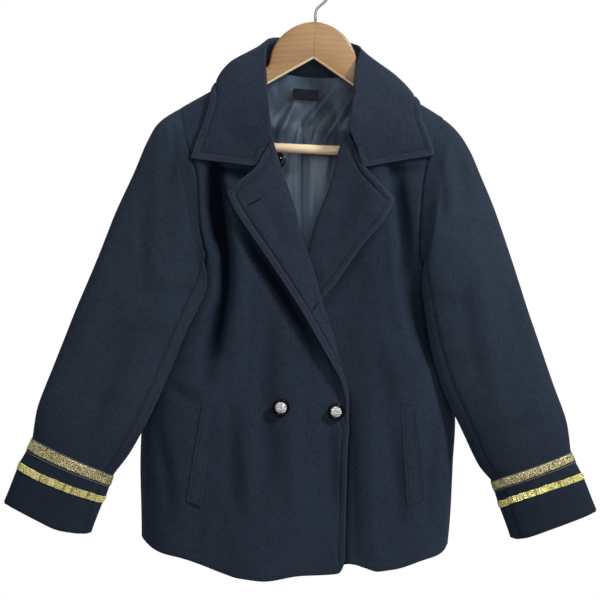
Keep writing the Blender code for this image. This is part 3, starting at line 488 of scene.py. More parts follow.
def body_form(x, z, fullness):
    """Share of the body's roundness, how far back its side seam sits, and its depth."""
    reach = np.clip(np.minimum(x - read(ROUND_R, z), read(ROUND_L, z) - x) / SIDE_ROUND, 0.0, 1.0)
    share = (1.0 - (1.0 - reach) ** 2.2) ** (1.0 / 2.2)
    drop = np.maximum(0.0, shoulder_height(x) - z)
    depth = (RIDGE * (1.0 - np.exp(-drop / 2.5)) + fullness * (1.0 - np.exp(-drop / FILL))) * share
    behind_sleeve = ease((-340.0 - z) / 110.0) * (1.0 - 0.75 * ease((-600.0 - z) / 110.0))
    return share, SEAM_BACK * behind_sleeve * (1.0 - share), depth


def cross(a, b):
    return a[..., 0] * b[..., 1] - a[..., 1] * b[..., 0]


def sleeve_behind(x, z, rows):
    """How far back a sleeve reaches at each place; beside it this falls away softly."""
    place = np.stack((x, z), axis=-1)
    best = np.full(x.shape, -200.0)
    for row, after in zip(rows, rows[1:]):
        outer_a, inner_a, outer_b, inner_b = np.array((row[0:2], row[2:4], after[0:2], after[2:4]), float)
        side_a = cross(inner_a - outer_a, place - outer_a)
        side_b = cross(inner_b - outer_b, place - outer_b)
        share = np.abs(side_a) / (np.abs(side_a) + np.abs(side_b) + 1e-9)
        outer = mix(outer_a, outer_b, share[..., None])
        chord = mix(inner_a, inner_b, share[..., None]) - outer
        width = np.linalg.norm(chord, axis=-1)
        along = ((place - outer) * chord).sum(-1) / width ** 2
        held = np.clip(along, 0.02, 0.98)
        half = mix(row[7], after[7], share)
        half = half * np.sqrt(1.0 - (2.0 * held - 1.0) ** 2) ** mix(0.85, 1.9, held)
        centre = mix(mix(row[4], row[5], held), mix(after[4], after[5], held), share)
        depth = centre + half - 0.8 * np.abs(along - held) * width
        best = np.where(side_a * side_b <= 0.0, np.maximum(best, depth), best)
    return best


def deep_fold(x, z, table):
    across = (x - read(table, z, 1)) / FOLD_WIDTH
    return read(table, z, 2) * np.exp(-across * across)


def front_y(x, z):
    x, z = np.broadcast_arrays(np.asarray(x, float), np.asarray(z, float))
    share, seam, depth = body_form(x, z, CHEST)
    y = seam - depth + (deep_fold(x, z, FOLD_R) + deep_fold(x, z, FOLD_L)) * share
    for rows, side in ((SLEEVE_R, -1.0), (SLEEVE_L, 1.0)):
        reach = sleeve_behind(x, z, rows) + SLEEVE_ROOM
        pressed = PRESS_SOFT * np.logaddexp(y / PRESS_SOFT, reach / PRESS_SOFT)
        y = mix(y, pressed, ease((PRESS_TOP - z) / 25.0) * (side * x > 0.0))
    return y


def back_y(x, z):
    x, z = np.broadcast_arrays(np.asarray(x, float), np.asarray(z, float))
    _, seam, depth = body_form(x, z, BACK)
    return seam + depth


def under_y(x, z):
    lap = LAP * ease((105.0 - x) / 70.0) * ease((-180.0 - z) / 90.0)
    return front_y(x, z) + mix(lap, 0.55 * lap, ease((-560.0 - z) / 120.0))


# --- meshes ---
def normals_of(grid, outward=(0, -1, 0), ring=False):
    """Unit normals on the side of outward; a ring's point away from its own middle."""
    down = np.gradient(grid, axis=0)
    if ring:
        around = np.roll(grid, -1, axis=1) - np.roll(grid, 1, axis=1)
        towards = grid - grid.mean(axis=1, keepdims=True)
    else:
        around = np.gradient(grid, axis=1)
        towards = np.array(outward, float)
    normals = unit(np.cross(down, around))
    return -normals if (towards * normals).sum() < 0.0 else normals


def link_new(name, data):
    thing = bpy.data.objects.new(name, data)
    bpy.context.scene.collection.objects.link(thing)
    return thing


def add_piece(name, mesh, finish, nodes):
    mesh.materials.append(finish)
    piece = link_new(name, mesh)
    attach(piece, "root")
    if nodes:
        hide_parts(*nodes)
    return piece


def place_mesh(name, points, faces, finish, nodes, marks=None, smooth=True):
    mesh = bpy.data.meshes.new(name)
    mesh.from_pydata((np.asarray(points) * MM).tolist(), [], faces)
    bm = bmesh.new()
    bm.from_mesh(mesh)
    bmesh.ops.recalc_face_normals(bm, faces=bm.faces)
    bm.to_mesh(mesh)
    bm.free()
    for mark, values in (marks or {}).items():
        layer = mesh.attributes.new(mark, "FLOAT", "POINT")
        layer.data.foreach_set("value", np.asarray(values, np.float32))
    if smooth:
        mesh.shade_smooth()
    return add_piece(name, mesh, finish, nodes)


def make_wall(name, grid, thickness, finish, nodes, marks=None, cut=None, ring=False):
    """Closes a grid into a wall with rounded edges. Marks are measures kept at its points.

    The cut is the width, height and flat area of the cloth, and what it hangs from; it is not used.
    """
    normals = normals_of(grid, ring=ring)
    rows, columns = grid.shape[:2]
    half = thickness / 2.0
    count = rows * columns
    index = np.arange(count).reshape(rows, columns)
    wrap = np.concatenate((index, index[:, :1]), axis=1) if ring else index
    a, b = wrap[:-1, :-1].ravel(), wrap[1:, :-1].ravel()
    c, d = wrap[1:, 1:].ravel(), wrap[:-1, 1:].ravel()
    faces = np.stack((a, b, c, d), 1).tolist() + (np.stack((a, d, c, b), 1) + count).tolist()
    if ring:
        loops = [(index[0], index[1]), (index[-1], index[-2])]
    else:
        edge = np.concatenate((index[0], index[1:, -1], index[-1, -2::-1], index[-2:0:-1, 0]))
        inner = index[np.clip(edge // columns, 1, rows - 2), np.clip(edge % columns, 1, columns - 2)]
        loops = [(edge, inner)]
    flat, flat_normals = grid.reshape(-1, 3), normals.reshape(-1, 3)
    points = [flat + flat_normals * half, flat - flat_normals * half]
    used = [np.arange(count), np.arange(count)]
    total = 2 * count
    for edge, inner in loops:
        n = flat_normals[edge]
        away = flat[edge] - flat[inner]
        away = unit(away - n * (away * n).sum(-1, keepdims=True))
        rings = [edge]
        for step in range(1, RIM_STEPS):
            angle = math.pi * step / RIM_STEPS
            points.append(flat[edge] + n * half * math.cos(angle) + away * half * math.sin(angle))
            used.append(edge)
            rings.append(np.arange(total, total + len(edge)))
            total += len(edge)
        rings.append(edge + count)
        for first, second in zip(rings, rings[1:]):
            faces += np.stack((first, second, np.roll(second, -1), np.roll(first, -1)), 1).tolist()
    kept = np.concatenate(used)
    values = {mark: np.asarray(value).ravel()[kept] for mark, value in (marks or {}).items()}
    piece = place_mesh(name, np.concatenate(points), faces, finish, nodes, values)
    if cut:
        width, height, area, *rests_on = cut
        width * MM
        height * MM
        area * MM * MM


def make_cord(name, line, radius, finish, nodes=(), sides=8, closed=False):
    """A round cord or bar along a line of points, closed on itself or with eased, capped ends."""
    line = np.array(line, float)
    sizes = np.full(len(line), radius)
    if closed:
        along = unit(np.roll(line, -1, axis=0) - np.roll(line, 1, axis=0))
    else:
        along = unit(np.gradient(line, axis=0))
        eased = END_EASE * radius
        line = np.concatenate((line[:1], line[:1] + along[:1] * eased, line[1:-1],
                               line[-1:] - along[-1:] * eased, line[-1:]))
        along = np.concatenate((along[:1], along, along[-1:]))
        sizes = np.full(len(line), radius)
        sizes[[0, -1]] -= eased
    side = unit(np.cross(along, (0.0, 1.0, 0.0)))
    up = np.cross(along, side)
    turns = np.arange(sides) * 2.0 * math.pi / sides
    spokes = (np.cos(turns)[:, None] * side[:, None] + np.sin(turns)[:, None] * up[:, None])
    points = line[:, None] + sizes[:, None, None] * spokes
    index = np.arange(len(line) * sides).reshape(-1, sides)
    if closed:
        index = np.concatenate((index, index[:1]))
    after = np.roll(index, -1, axis=1)
    faces = np.stack((index[:-1], index[1:], after[1:], after[:-1]), -1).reshape(-1, 4).tolist()
    if not closed:
        faces += [index[0].tolist(), index[-1].tolist()]
    return place_mesh(name, points.reshape(-1, 3), faces, finish, nodes)


# --- finishes ---
class Wire:
    """A node's output. Sums and products of wires and numbers add Math nodes."""

    def __init__(self, finish, socket):
        self.finish = finish
        self.socket = socket

    def __add__(self, other):
        return self.finish.math("ADD", self, other)

    def __sub__(self, other):
        return self.finish.math("SUBTRACT", self, other)

    def __rsub__(self, other):
        return self.finish.math("SUBTRACT", other, self)

    def __mul__(self, other):
        return self.finish.math("MULTIPLY", self, other)

    def __gt__(self, other):
        return self.finish.math("GREATER_THAN", self, other)

    def __abs__(self):
        return self.finish.math("ABSOLUTE", self)

    __radd__ = __add__
    __rmul__ = __mul__


class Finish:
    """A material and the ways of adding to its nodes."""

    def __init__(self, name):
        self.material = bpy.data.materials.new(name)
        self.material.use_nodes = True
        self.tree = self.material.node_tree
        self.shader = self.tree.nodes["Principled BSDF"]
        self.places = self.tree.nodes.new("ShaderNodeTexCoord").outputs["Object"]

    def node(self, kind, settings, sockets, output=0):
        node = self.tree.nodes.new("ShaderNode" + kind)
        for key, value in settings.items():
            setattr(node, key, value)
        for key, value in sockets.items():
            self.feed(node.inputs[key], value)
        return Wire(self, node.outputs[output])

    def feed(self, socket, value):
        if isinstance(value, Wire):
            self.tree.links.new(value.socket, socket)
        elif hasattr(value, "is_output"):
            self.tree.links.new(value, socket)
        elif hasattr(value, "__len__") and len(value) == 3 and len(socket.default_value) == 4:
            socket.default_value = (*value, 1.0)
        else:
            socket.default_value = value

    def math(self, operation, *values):
        return self.node("Math", {"operation": operation}, dict(enumerate(values)))

    def stretched(self, scale, turn=0.0):
        """Places scaled for a texture, after a turn about the depth axis."""
        return self.node("Mapping", {}, {"Vector": self.places, "Rotation": (0.0, turn, 0.0), "Scale": scale})

    def noise(self, scale, detail=2.0, vector=None, roughness=0.5, distortion=0.0):
        return self.node("TexNoise", {}, {"Vector": vector or self.places, "Scale": scale,
                                          "Detail": detail, "Roughness": roughness,
                                          "Distortion": distortion})

    def bands(self, scale, distortion, vector=None, **more):
        sockets = {"Vector": vector or self.places, "Scale": scale, "Distortion": distortion}
        sockets.update({key.replace("_", " "): value for key, value in more.items()})
        return self.node("TexWave", {"wave_type": "BANDS", "bands_direction": "Z"}, sockets)

    def cells(self, scale, randomness=1.0, feature="F1", output="Color"):
        return self.node("TexVoronoi", {"feature": feature},
                         {"Vector": self.places, "Scale": scale, "Randomness": randomness}, output)

    def channel(self, source, name):
        """One channel of a colour, or one axis of a place."""
        kind = "SeparateXYZ" if len(name) == 1 else "SeparateColor"
        return self.node(kind, {}, {0: source}, name)

    def mark(self, name):
        return self.node("Attribute", {"attribute_name": name}, {}, "Fac")

    def between(self, low, high, amount):
        return self.node("MapRange", {"clamp": True}, {"Value": amount, "From Min": low, "From Max": high})

    def blend(self, amount, first, second):
        return self.node("Mix", {"data_type": "RGBA"}, {0: amount, 6: first, 7: second}, 2)

    def bump(self, height, distance, strength=1.0, under=None):
        sockets = {"Height": height, "Distance": distance, "Strength": strength}
        if under is not None:
            sockets["Normal"] = under
        return self.node("Bump", {}, sockets)

    def done(self, **values):
        for key, value in values.items():
            self.feed(self.shader.inputs[key.replace("_", " ")], value)
        return self.material


def wool_finish(name, tint, stitched=False, cuff=False):
    """Felted navy wool: short nap, mottled dye, stray pale fibres, a soft sheen."""
    def tinted(share):
        return tuple(share * part for part in tint)

    wool = Finish(name)
    nap = wool.noise(1150.0, 3.0, roughness=0.65)
    brushed = wool.noise(420.0, 3.0, vector=wool.stretched((1.0, 1.0, 0.45)), roughness=0.6)
    mottle = wool.noise(90.0, 3.0)
    shade = 0.44 * nap + 0.34 * brushed + 0.12 * mottle + 0.1 * wool.noise(9.0, 2.0)
    colour = wool.blend(wool.between(0.36, 0.64, shade), tinted(0.66), tinted(1.42))
    lint = wool.noise(620.0, 1.0, distortion=1.5) > 0.735
    colour = wool.blend(lint * 0.2, colour, (0.13, 0.155, 0.2))
    # Painted shade: a mark kept at the points darkens creases, folds, seams, and places beside the lapels and
    # under the collar, towards a near-black navy.
    painted_shade_colour = (0.02 * tint[0], 0.05 * tint[1], 0.12 * tint[2])
    colour = wool.blend(wool.between(0.0, 1.0, wool.mark("painted_shade")) * 0.92, colour, painted_shade_colour)
    # Painted shade: the sleeves grow darker below 600 mm down, over their cuffs.
    if cuff:
        low = wool.between(-0.60, -0.76, wool.channel(wool.places, "Z"))
        colour = wool.blend(low * 0.5, colour, tinted(0.45))
    normal = wool.bump(nap * 0.6 + brushed * 0.7 + mottle * 0.25, 0.00042, 0.75)
    if stitched:
        edge = wool.mark("edge")
        row = 1.0 - wool.between(0.0, 1.0, abs(edge - STITCH_IN))
        dash = wool.math("SINE", wool.mark("run") * 2.3)
        normal = wool.bump(0.0 - row * (0.6 + 0.4 * dash), 0.0005, 0.8, normal)
        # Painted shade along the stitching's groove.
        colour = wool.blend(row * 0.35, colour, tinted(0.35))
        # Painted highlight within 2.6 mm of a folded edge.
        colour = wool.blend(wool.between(2.6, 0.4, edge) * 0.35, colour, tinted(2.1))
    return wool.done(Base_Color=colour, Roughness=wool.between(-1.2, 1.3, nap) * 0.5 + 0.55,
                     Normal=normal, Sheen_Weight=0.07, Sheen_Roughness=0.45,
                     Sheen_Tint=(0.42, 0.62, 1.0), Specular_IOR_Level=0.05)


def satin_finish():
    satin = Finish("slate_satin")
    weave = satin.noise(1500.0, 2.0, vector=satin.stretched((1.0, 1.0, 0.12)))
    streak = satin.noise(34.0, 3.0, vector=satin.stretched((1.0, 1.0, 0.35), -0.7), distortion=0.8)
    # Painted sheen and shade: the colour streaks with the same noise that bumps the satin's folds.
    colour = satin.blend(satin.between(0.35, 0.7, streak), (0.024, 0.040, 0.062), (0.070, 0.106, 0.158))
    # Painted light: the lining grows lighter and bluer from 220 to 330 mm below the hook.
    deep = satin.between(-0.22, -0.33, satin.channel(satin.places, "Z"))
    colour = satin.blend(deep * 0.68, colour, (0.158, 0.240, 0.350))
    normal = satin.bump(streak, 0.0010, 0.5, satin.bump(weave, 0.00008, 0.5))
    return satin.done(Base_Color=colour, Roughness=satin.between(0.0, 1.0, weave) * 0.14 + 0.3,
                      Normal=normal, Specular_IOR_Level=0.42)


def tape_finish():
    tape = Finish("label_tape")
    fuzz = tape.noise(1400.0, 2.0)
    return tape.done(Base_Color=tape.blend(fuzz, (0.004, 0.005, 0.009), (0.010, 0.013, 0.021)),
                     Roughness=fuzz * 0.2 + 0.5, Normal=tape.bump(tape.bands(320.0, 0.4), 0.00012, 0.7),
                     Specular_IOR_Level=0.15)


def wood_finish(name, turn, pale=0.0):
    """Clear-lacquered light wood, its grain along each arm."""
    wood = Finish(name)
    grained = wood.stretched((0.12, 1.0, 1.0), turn)
    rings = wood.bands(46.0, 5.0, grained, Detail=3.0, Detail_Scale=1.6, Detail_Roughness=0.6)
    pore = wood.noise(620.0, 3.0, vector=wood.stretched((0.06, 1.0, 1.0), turn), roughness=0.7)
    tone = 0.09 * rings + 0.55 * wood.noise(22.0, 2.0, vector=grained) + 0.36 * pore
    dark = mix(np.array((0.215, 0.099, 0.027)), np.array((0.50, 0.33, 0.185)), pale).tolist()
    light = mix(np.array((0.415, 0.236, 0.080)), np.array((0.92, 0.71, 0.46)), pale).tolist()
    colour = wood.blend(wood.between(0.25, 0.72, tone), dark, light)
    colour = wood.blend(wood.between(0.62, 0.72, pore) * 0.3, colour, (0.26, 0.13, 0.055))
    # Painted reflection: the rim mark lightens the bevels that face down.
    colour = wood.blend(wood.mark("rim") * 0.9, colour, (0.95, 0.74, 0.46))
    if not pale:
        up = wood.channel(wood.places, "Z") - CROWN.z * MM
        joint = abs(wood.channel(wood.places, "X") - up * math.tan(TILT) - CROWN.x * MM)
        colour = wood.blend(wood.between(0.0007, 0.0002, joint) * 0.7, colour, (0.10, 0.045, 0.015))
    return wood.done(Base_Color=colour, Roughness=pore * 0.16 + 0.3, Coat_Weight=0.25,
                     Normal=wood.bump(pore, 0.00012, 0.5), Coat_Roughness=0.22)


def wire_finish():
    wire = Finish("hook_wire")
    draw = wire.noise(900.0, 2.0, vector=wire.stretched((1.0, 1.0, 0.05)))
    wear = wire.noise(60.0, 3.0)
    return wire.done(Base_Color=wire.blend(wear, (0.36, 0.36, 0.37), (0.58, 0.57, 0.56)), Metallic=1.0,
                     Roughness=draw * 0.16 + wear * 0.12 + 0.25, Normal=wire.bump(draw, 0.00004, 0.5))


def glitter_finish():
    """Gold glitter tape: flakes that each face their own way, over a woven ground."""
    gold = Finish("gold_glitter")
    cell = gold.cells(980.0)
    parts, flash = gold.channel(cell, "Red"), gold.channel(cell, "Green")
    # Painted sparkle: each flake's random tone, dark to bright gold, stands in for how it catches the light.
    colour = gold.blend(gold.between(0.1, 0.95, parts), (0.035, 0.029, 0.009), (0.73, 0.63, 0.29))
    # Painted glints: the brightest flakes turn nearly white.
    colour = gold.blend(flash > 0.88, colour, (1.0, 0.92, 0.66))
    rib = gold.bands(170.0, 1.6, gold.stretched((1.0, 1.0, 1.0), 0.42))
    return gold.done(Base_Color=colour, Metallic=0.6, Roughness=flash * 0.25 + 0.22,
                     Normal=gold.bump(parts * 0.9 + rib * 0.1, 0.0003, 1.0))


def braid_finish():
    """Flat gold braid: bright metallic yarn twisted aslant, with darker gaps."""
    braid = Finish("gold_braid")
    run, across = braid.mark("run"), braid.mark("edge")
    strand = braid.math("SINE", run * 2.6 + across * 1.5)
    other = braid.math("SINE", run * 2.6 - across * 1.5)
    weave = braid.math("MAXIMUM", strand, other)
    patch = braid.noise(330.0, 3.0, roughness=0.7)
    tone = braid.between(-0.7, 1.2, weave) * 0.22 + patch * 0.25 + braid.noise(80.0, 2.0) * 0.55
    tone = tone + braid.channel(braid.cells(900.0), "Red") * 0.42
    colour = braid.blend(braid.between(0.48, 0.82, tone), (0.12, 0.09, 0.012), (1.0, 0.93, 0.36))
    kink = braid.node("TexNoise", {"noise_dimensions": "1D"}, {"W": run * 0.16, "Scale": 1.0, "Detail": 1.0})
    colour = braid.blend(braid.between(0.58, 0.68, kink) * 0.6, colour, (0.10, 0.072, 0.012))
    normal = braid.bump(weave, 0.0005, 0.9, braid.bump(braid.noise(1400.0), 0.0001, 0.6))
    return braid.done(Base_Color=colour, Metallic=0.55, Roughness=patch * 0.22 + 0.22, Normal=normal)


def gloss_finish():
    gloss = Finish("button_black")
    smear = gloss.noise(260.0, 2.0)
    return gloss.done(Base_Color=gloss.blend(smear, (0.0004, 0.0004, 0.0008), (0.0012, 0.0012, 0.002)),
                      Roughness=smear * 0.06 + 0.09, Specular_IOR_Level=0.14,
                      Normal=gloss.bump(smear, 0.00008, 0.4))


def jewel_finish():
    jewel = Finish("button_jewel")
    cell = jewel.cells(620.0, 0.9)
    rim = jewel.cells(620.0, 0.9, "DISTANCE_TO_EDGE", "Distance")
    tone, glint = jewel.channel(cell, "Red"), jewel.channel(cell, "Green")
    # Painted glints: the cells' grey-to-white tone stands in for facets catching the light.
    colour = jewel.blend(jewel.between(0.15, 0.8, tone), (0.30, 0.31, 0.32), (1.0, 1.0, 1.0))
    colour = jewel.blend((1.0 - jewel.between(0.0, 0.07, rim)) * 0.7, colour, (0.015, 0.015, 0.018))
    return jewel.done(Base_Color=colour, Metallic=glint * 0.15, Roughness=glint * 0.2 + 0.1,
                      Normal=jewel.bump(jewel.between(0.0, 0.3, rim) + tone * 0.6, 0.0005, 1.0),
                      Specular_IOR_Level=0.9, Coat_Weight=1.0, Coat_Roughness=0.08)


def thread_finish(name, dark, light):
    thread = Finish(name)
    twist = thread.noise(2600.0, 1.0)
    return thread.done(Base_Color=thread.blend(twist, dark, light), Roughness=twist * 0.2 + 0.55,
                       Normal=thread.bump(twist, 0.0001, 0.7), Specular_IOR_Level=0.2)


def floor_finish():
    floor = Finish("pale_floor")
    cloudy = floor.noise(1.5, 2.0)
    return floor.done(Base_Color=floor.blend(cloudy, (0.86, 0.86, 0.86), (0.9, 0.9, 0.9)),
                      Roughness=cloudy * 0.1 + 0.6)


wool_body = wool_finish("navy_wool_body", (0.0176, 0.0255, 0.0400), stitched=True)
# The sleeves' copy is tinted a little lighter than the body's: painted light.
wool_sleeve = wool_finish("navy_wool_sleeve", (0.0188, 0.0270, 0.0410), cuff=True)
wool_collar = wool_finish("navy_wool_collar", (0.0190, 0.0255, 0.0395), stitched=True)
satin = satin_finish()
tape = tape_finish()
glitter = glitter_finish()
gold_braid = braid_finish()
black_gloss = gloss_finish()
crystal = jewel_finish()
thread = thread_finish("navy_thread", (0.001, 0.0012, 0.002), (0.004, 0.005, 0.008))
ribbon = thread_finish("grey_piping", (0.055, 0.065, 0.078), (0.15, 0.165, 0.185))


# --- body panels: rows lie over the arm, beside the armhole, and below it ---
PLACES = np.concatenate((np.linspace(0.0, 1.0, PANEL_STRIP, endpoint=False),
                         np.linspace(1.0, UNDER_ARM, PANEL_ARMHOLE, endpoint=False),
                         UNDER_ARM + np.linspace(0.0, 1.0, PANEL_BELOW)))
BESIDE = np.clip((PLACES - 1.0) / (UNDER_ARM - 1.0), 0.0, 1.0)
BELOW = np.clip(PLACES - UNDER_ARM, 0.0, 1.0)


def armhole_height(table, k):
    """Height on an armhole at k: 0 at the shoulder, 1 below the arm, UNDER_ARM at its foot."""
    top, bottom = table[0][0], table[-1][0]
    share = np.clip((k - 1.0) / (UNDER_ARM - 1.0), 0.0, 1.0)
    lower = mix(top - ARM_DROP, bottom, np.sin(share * math.pi / 2.0))
    return np.where(k < 1.0, top - ARM_DROP * k, lower)


def side_line(armhole, side):
    """A panel's side at each of its rows, across and height, as columns."""
    beside = PLACES <= UNDER_ARM
    below = mix(side[0][0], side[-1][0], BELOW ** DOWN_POWER)
    z = np.where(beside, armhole_height(armhole, PLACES), below)
    return np.where(beside, read(armhole, z), read(side, z))[:, None], z[:, None]


def front_grid(armhole, side, edge, lapel, dip, depth, outward):
    x_side, z_side = side_line(armhole, side)
    z_edge = np.where(PLACES <= UNDER_ARM, mix(edge[0][0] - ARM_DROP, CHEST_LINE, BESIDE),
                      mix(CHEST_LINE, edge[-1][0], BELOW ** DOWN_POWER))
    roll = [(row[1], row[0]) for row in lapel]
    inset = (TURN + TURN_GAP) * mix(0.3, 1.0, ease((z_edge - roll[-1][0]) / 60.0))
    at_roll = (roll[-1][0] < z_edge) & (z_edge < roll[0][0])
    x_edge = np.where(at_roll, read(roll, z_edge) + outward * inset, read(edge, z_edge))
    s = np.linspace(0.0, 1.0, PANEL_COLUMNS)
    along = 0.275 * (1.0 - np.cos(math.pi * s)) + 0.45 * s
    x = mix(x_side, x_edge[:, None], along)
    z = mix(z_side, z_edge[:, None], along) - read(dip, along) * BELOW[:, None] ** 2
    z = np.where(PLACES[:, None] <= 1.0, shoulder_height(x) - ARM_DROP * PLACES[:, None], z)
    return np.stack((x, depth(x, z), z), axis=-1)


def back_grid():
    x_right, z_right = side_line(ARMHOLE_R, SIDE_R)
    x_left, z_left = side_line(ARMHOLE_L, SIDE_L)
    s = np.linspace(0.0, 1.0, BACK_COLUMNS)
    along = s - 0.05 * np.sin(2.0 * math.pi * s)
    x = mix(x_right, x_left, along)
    z = mix(z_right, z_left, along)
    places, below = PLACES[:, None], BELOW[:, None]
    fade = 1.0 - np.clip((places - 1.0) / UNDER_ARM, 0.0, 1.0)
    rise = (neck_curve(x[0]) - z[0]) * fade ** 2.5
    z = np.where(places <= 1.0, z[0] - ARM_DROP * places, z)
    z = z + rise - BACK_DIP * np.sin(math.pi * along) ** 0.8 * below ** 2
    return np.stack((x, back_y(x, z), z), axis=-1)


def press(grid, creases, phase, outward=(0, -1, 0)):
    """Creases, slack and the armhole seams pressed into a panel, and the painted shade at each place."""
    x, z = grid[..., 0], grid[..., 2]
    creased = CREASE_DEPTH * crease_field(x, z, creases)
    beside = grid[:PANEL_STRIP + PANEL_ARMHOLE]
    seam = armhole_seam(grid, *([beside[:, 0]] if outward[1] < 0 else [beside[:, 0], beside[:, -1]]))
    depth = creased + slack(x, z, phase) + SEAM_PULL * seam
    # Painted shade: darker the deeper a crease, and along the armhole seams.
    painted_shade = np.clip(creased / FULL_SHADE_DEPTH, 0.0, 1.0) + SEAM_SHADE * seam ** 2
    return grid - normals_of(grid, outward) * depth[..., None], painted_shade


def make_fronts():
    for side, shape, creases, phase, fold, fold_shade in (
            ("right", (ARMHOLE_R, SIDE_R, EDGE_R, LAPEL_R, HEM_DIP_R, front_y, -1.0),
             CREASES_FRONT_R, PHASE_FRONT_R, FOLD_R, 0.055),
            ("left", (ARMHOLE_L, SIDE_L, EDGE_L, LAPEL_L, HEM_DIP_L, under_y, 1.0),
             CREASES_FRONT_L, PHASE_FRONT_L, FOLD_L, 0.02)):
        grid, painted_shade = press(front_grid(*shape), creases, phase)
        x, z = grid[..., 0], grid[..., 2]
        # Painted shade down the deep folds under the collar, and beside the lapels, under the collar and over
        # the lower front.
        painted_shade = painted_shade + fold_shade * deep_fold(x, z, fold) * ease((-275.0 - z) / 40.0)
        painted_shade = painted_shade + crease_field(x, z, SHADES)
        # Painted shadow of the over front's edge on the under front, below 590 mm down.
        if side == "left":
            from_edge = (x - read(EDGE_R, z)) / 4.5
            painted_shade = painted_shade + np.exp(-from_edge ** 2) * ease((-590.0 - z) / 20.0)
        start = int(PANEL_STRIP + 0.55 * PANEL_ARMHOLE)
        distance = distance_to(grid, grid[start:, -1])
        grid = grid + normals_of(grid) * edge_ridge(distance, twice=0.8)[..., None]
        make_wall("front_" + side + "_wool", grid, WOOL, wool_body, ["front_" + side],
                  {"edge": distance, "run": grid[..., 2], "painted_shade": painted_shade},
                  (330, 780, 172000, "hanger_arm_" + side))


def make_back():
    grid, painted_shade = press(back_grid(), CREASES_BACK, 2.7, (0, 1, 0))
    make_wall("back_panel", grid, WOOL, wool_body, ["back"],
              {"edge": np.full(grid.shape[:2], NO_EDGE), "run": grid[..., 2], "painted_shade": painted_shade},
              (560, 760, 345000, "hanger_arm_right", "hanger_arm_left"))


# --- sleeves: rings of places that start at the outer edge and pass the front first ---
AROUND = np.arange(SLEEVE_TURNS) * 2.0 * math.pi / SLEEVE_TURNS
IN_FRONT = AROUND <= math.pi
INWARDS = 0.5 - 0.5 * np.cos(AROUND)     # share of the way from the outer to the inner edge


def sleeve_rings(armhole, rows):
    """The armhole's ring and the sleeve's rings below it."""
    k = np.where(IN_FRONT, AROUND, 2.0 * math.pi - AROUND) / (math.pi / UNDER_ARM)
    z = armhole_height(armhole, k)
    x = read(armhole, z)
    rings = [np.stack((x, np.where(IN_FRONT, front_y(x, z), back_y(x, z)), z), axis=-1)]
    hem_sag = CUFF_SAG_R if rows is SLEEVE_R else CUFF_SAG_L
    for number, row in enumerate(rows, 1):
        outer_x, outer_z, inner_x, inner_z, outer_y, inner_y, forward, backward, belly = row
        near_armhole = float(ease((6.0 - number) / 4.0))
        inner_power = np.where(IN_FRONT, 1.35 + 0.75 * near_armhole, 1.9)
        round_off = np.abs(np.sin(AROUND)) ** mix(0.85, inner_power, INWARDS)
        sagging = read(hem_sag, INWARDS) if number == len(rows) else np.sin(AROUND)
        drop = np.where(IN_FRONT, belly * sagging, -0.4 * belly * np.sin(AROUND))
        y = mix(outer_y, inner_y, INWARDS) + np.where(IN_FRONT, -forward, backward) * round_off
        rings.append(np.stack((mix(outer_x, inner_x, INWARDS), y,
                               mix(outer_z, inner_z, INWARDS) - drop), axis=-1))
    return np.array(rings)


def sleeve_surface(armhole, rows, creases, phase, at):
    rings = sleeve_rings(armhole, rows)
    grid = flowing(np.arange(len(rings), dtype=float), rings, at)
    normals = normals_of(grid, ring=True)
    x, z = grid[..., 0], grid[..., 2]
    held = ease(at[:, None] / 1.5) * (1.0 - 0.75 * ease((at[:, None] - 8.5) / 1.5))
    on_front = ease(-normals[..., 1] * 1.6 + 0.2)
    on_back = ease(normals[..., 1] * 1.6 + 0.2)
    creased = crease_field(x, z, creases) * on_front
    creased = creased + crease_field(x + 9.0, z + 24.0, creases) * on_back * 1.1
    creased = CREASE_DEPTH * creased * held
    loose = slack(x, z, phase) * (on_front + 0.6 * on_back) * held
    forearm = (INWARDS - SLEEVE_SEAM) * 125.0
    line = np.exp(-(forearm / 1.5) ** 2) * (normals[..., 1] < 0.2)
    seam = armhole_seam(grid, rings[0])
    depth = creased + loose + 1.3 * line + SEAM_PULL * seam
    # Painted shade in the creases, along the forearm seam and along the armhole seam.
    painted_shade = np.clip(creased / FULL_SHADE_DEPTH, 0.0, 1.0) + 0.45 * line + SEAM_SHADE * seam ** 2
    # Painted shade on the right sleeve where it turns in to its armhole.
    if rows is SLEEVE_R:
        near_shoulder = ease((5.5 - at[:, None]) / 2.5)
        painted_shade = painted_shade + STRIP_SHADE * np.clip(normals[..., 0] - 0.05, 0.0, 0.5) * near_shoulder * on_front
    return grid - normals * depth[..., None], normals, painted_shade


def make_sleeves():
    steps = np.linspace(0.0, float(len(SLEEVE_R)), SLEEVE_ROWS)
    for side, *form in (("right", ARMHOLE_R, SLEEVE_R, CREASES_SLEEVE_R, 0.9),
                        ("left", ARMHOLE_L, SLEEVE_L, CREASES_SLEEVE_L, 2.2)):
        grid, normals, painted_shade = sleeve_surface(*form, steps)
        grid = grid + normals * 0.5 * ease((steps - 13.75) / 0.25)[:, None, None]
        make_wall("sleeve_" + side + "_wool", grid, WOOL, wool_sleeve, ["sleeve_" + side],
                  {"painted_shade": painted_shade}, (420, 640, 190000, "front_" + side), ring=True)
        make_trim(side, form)


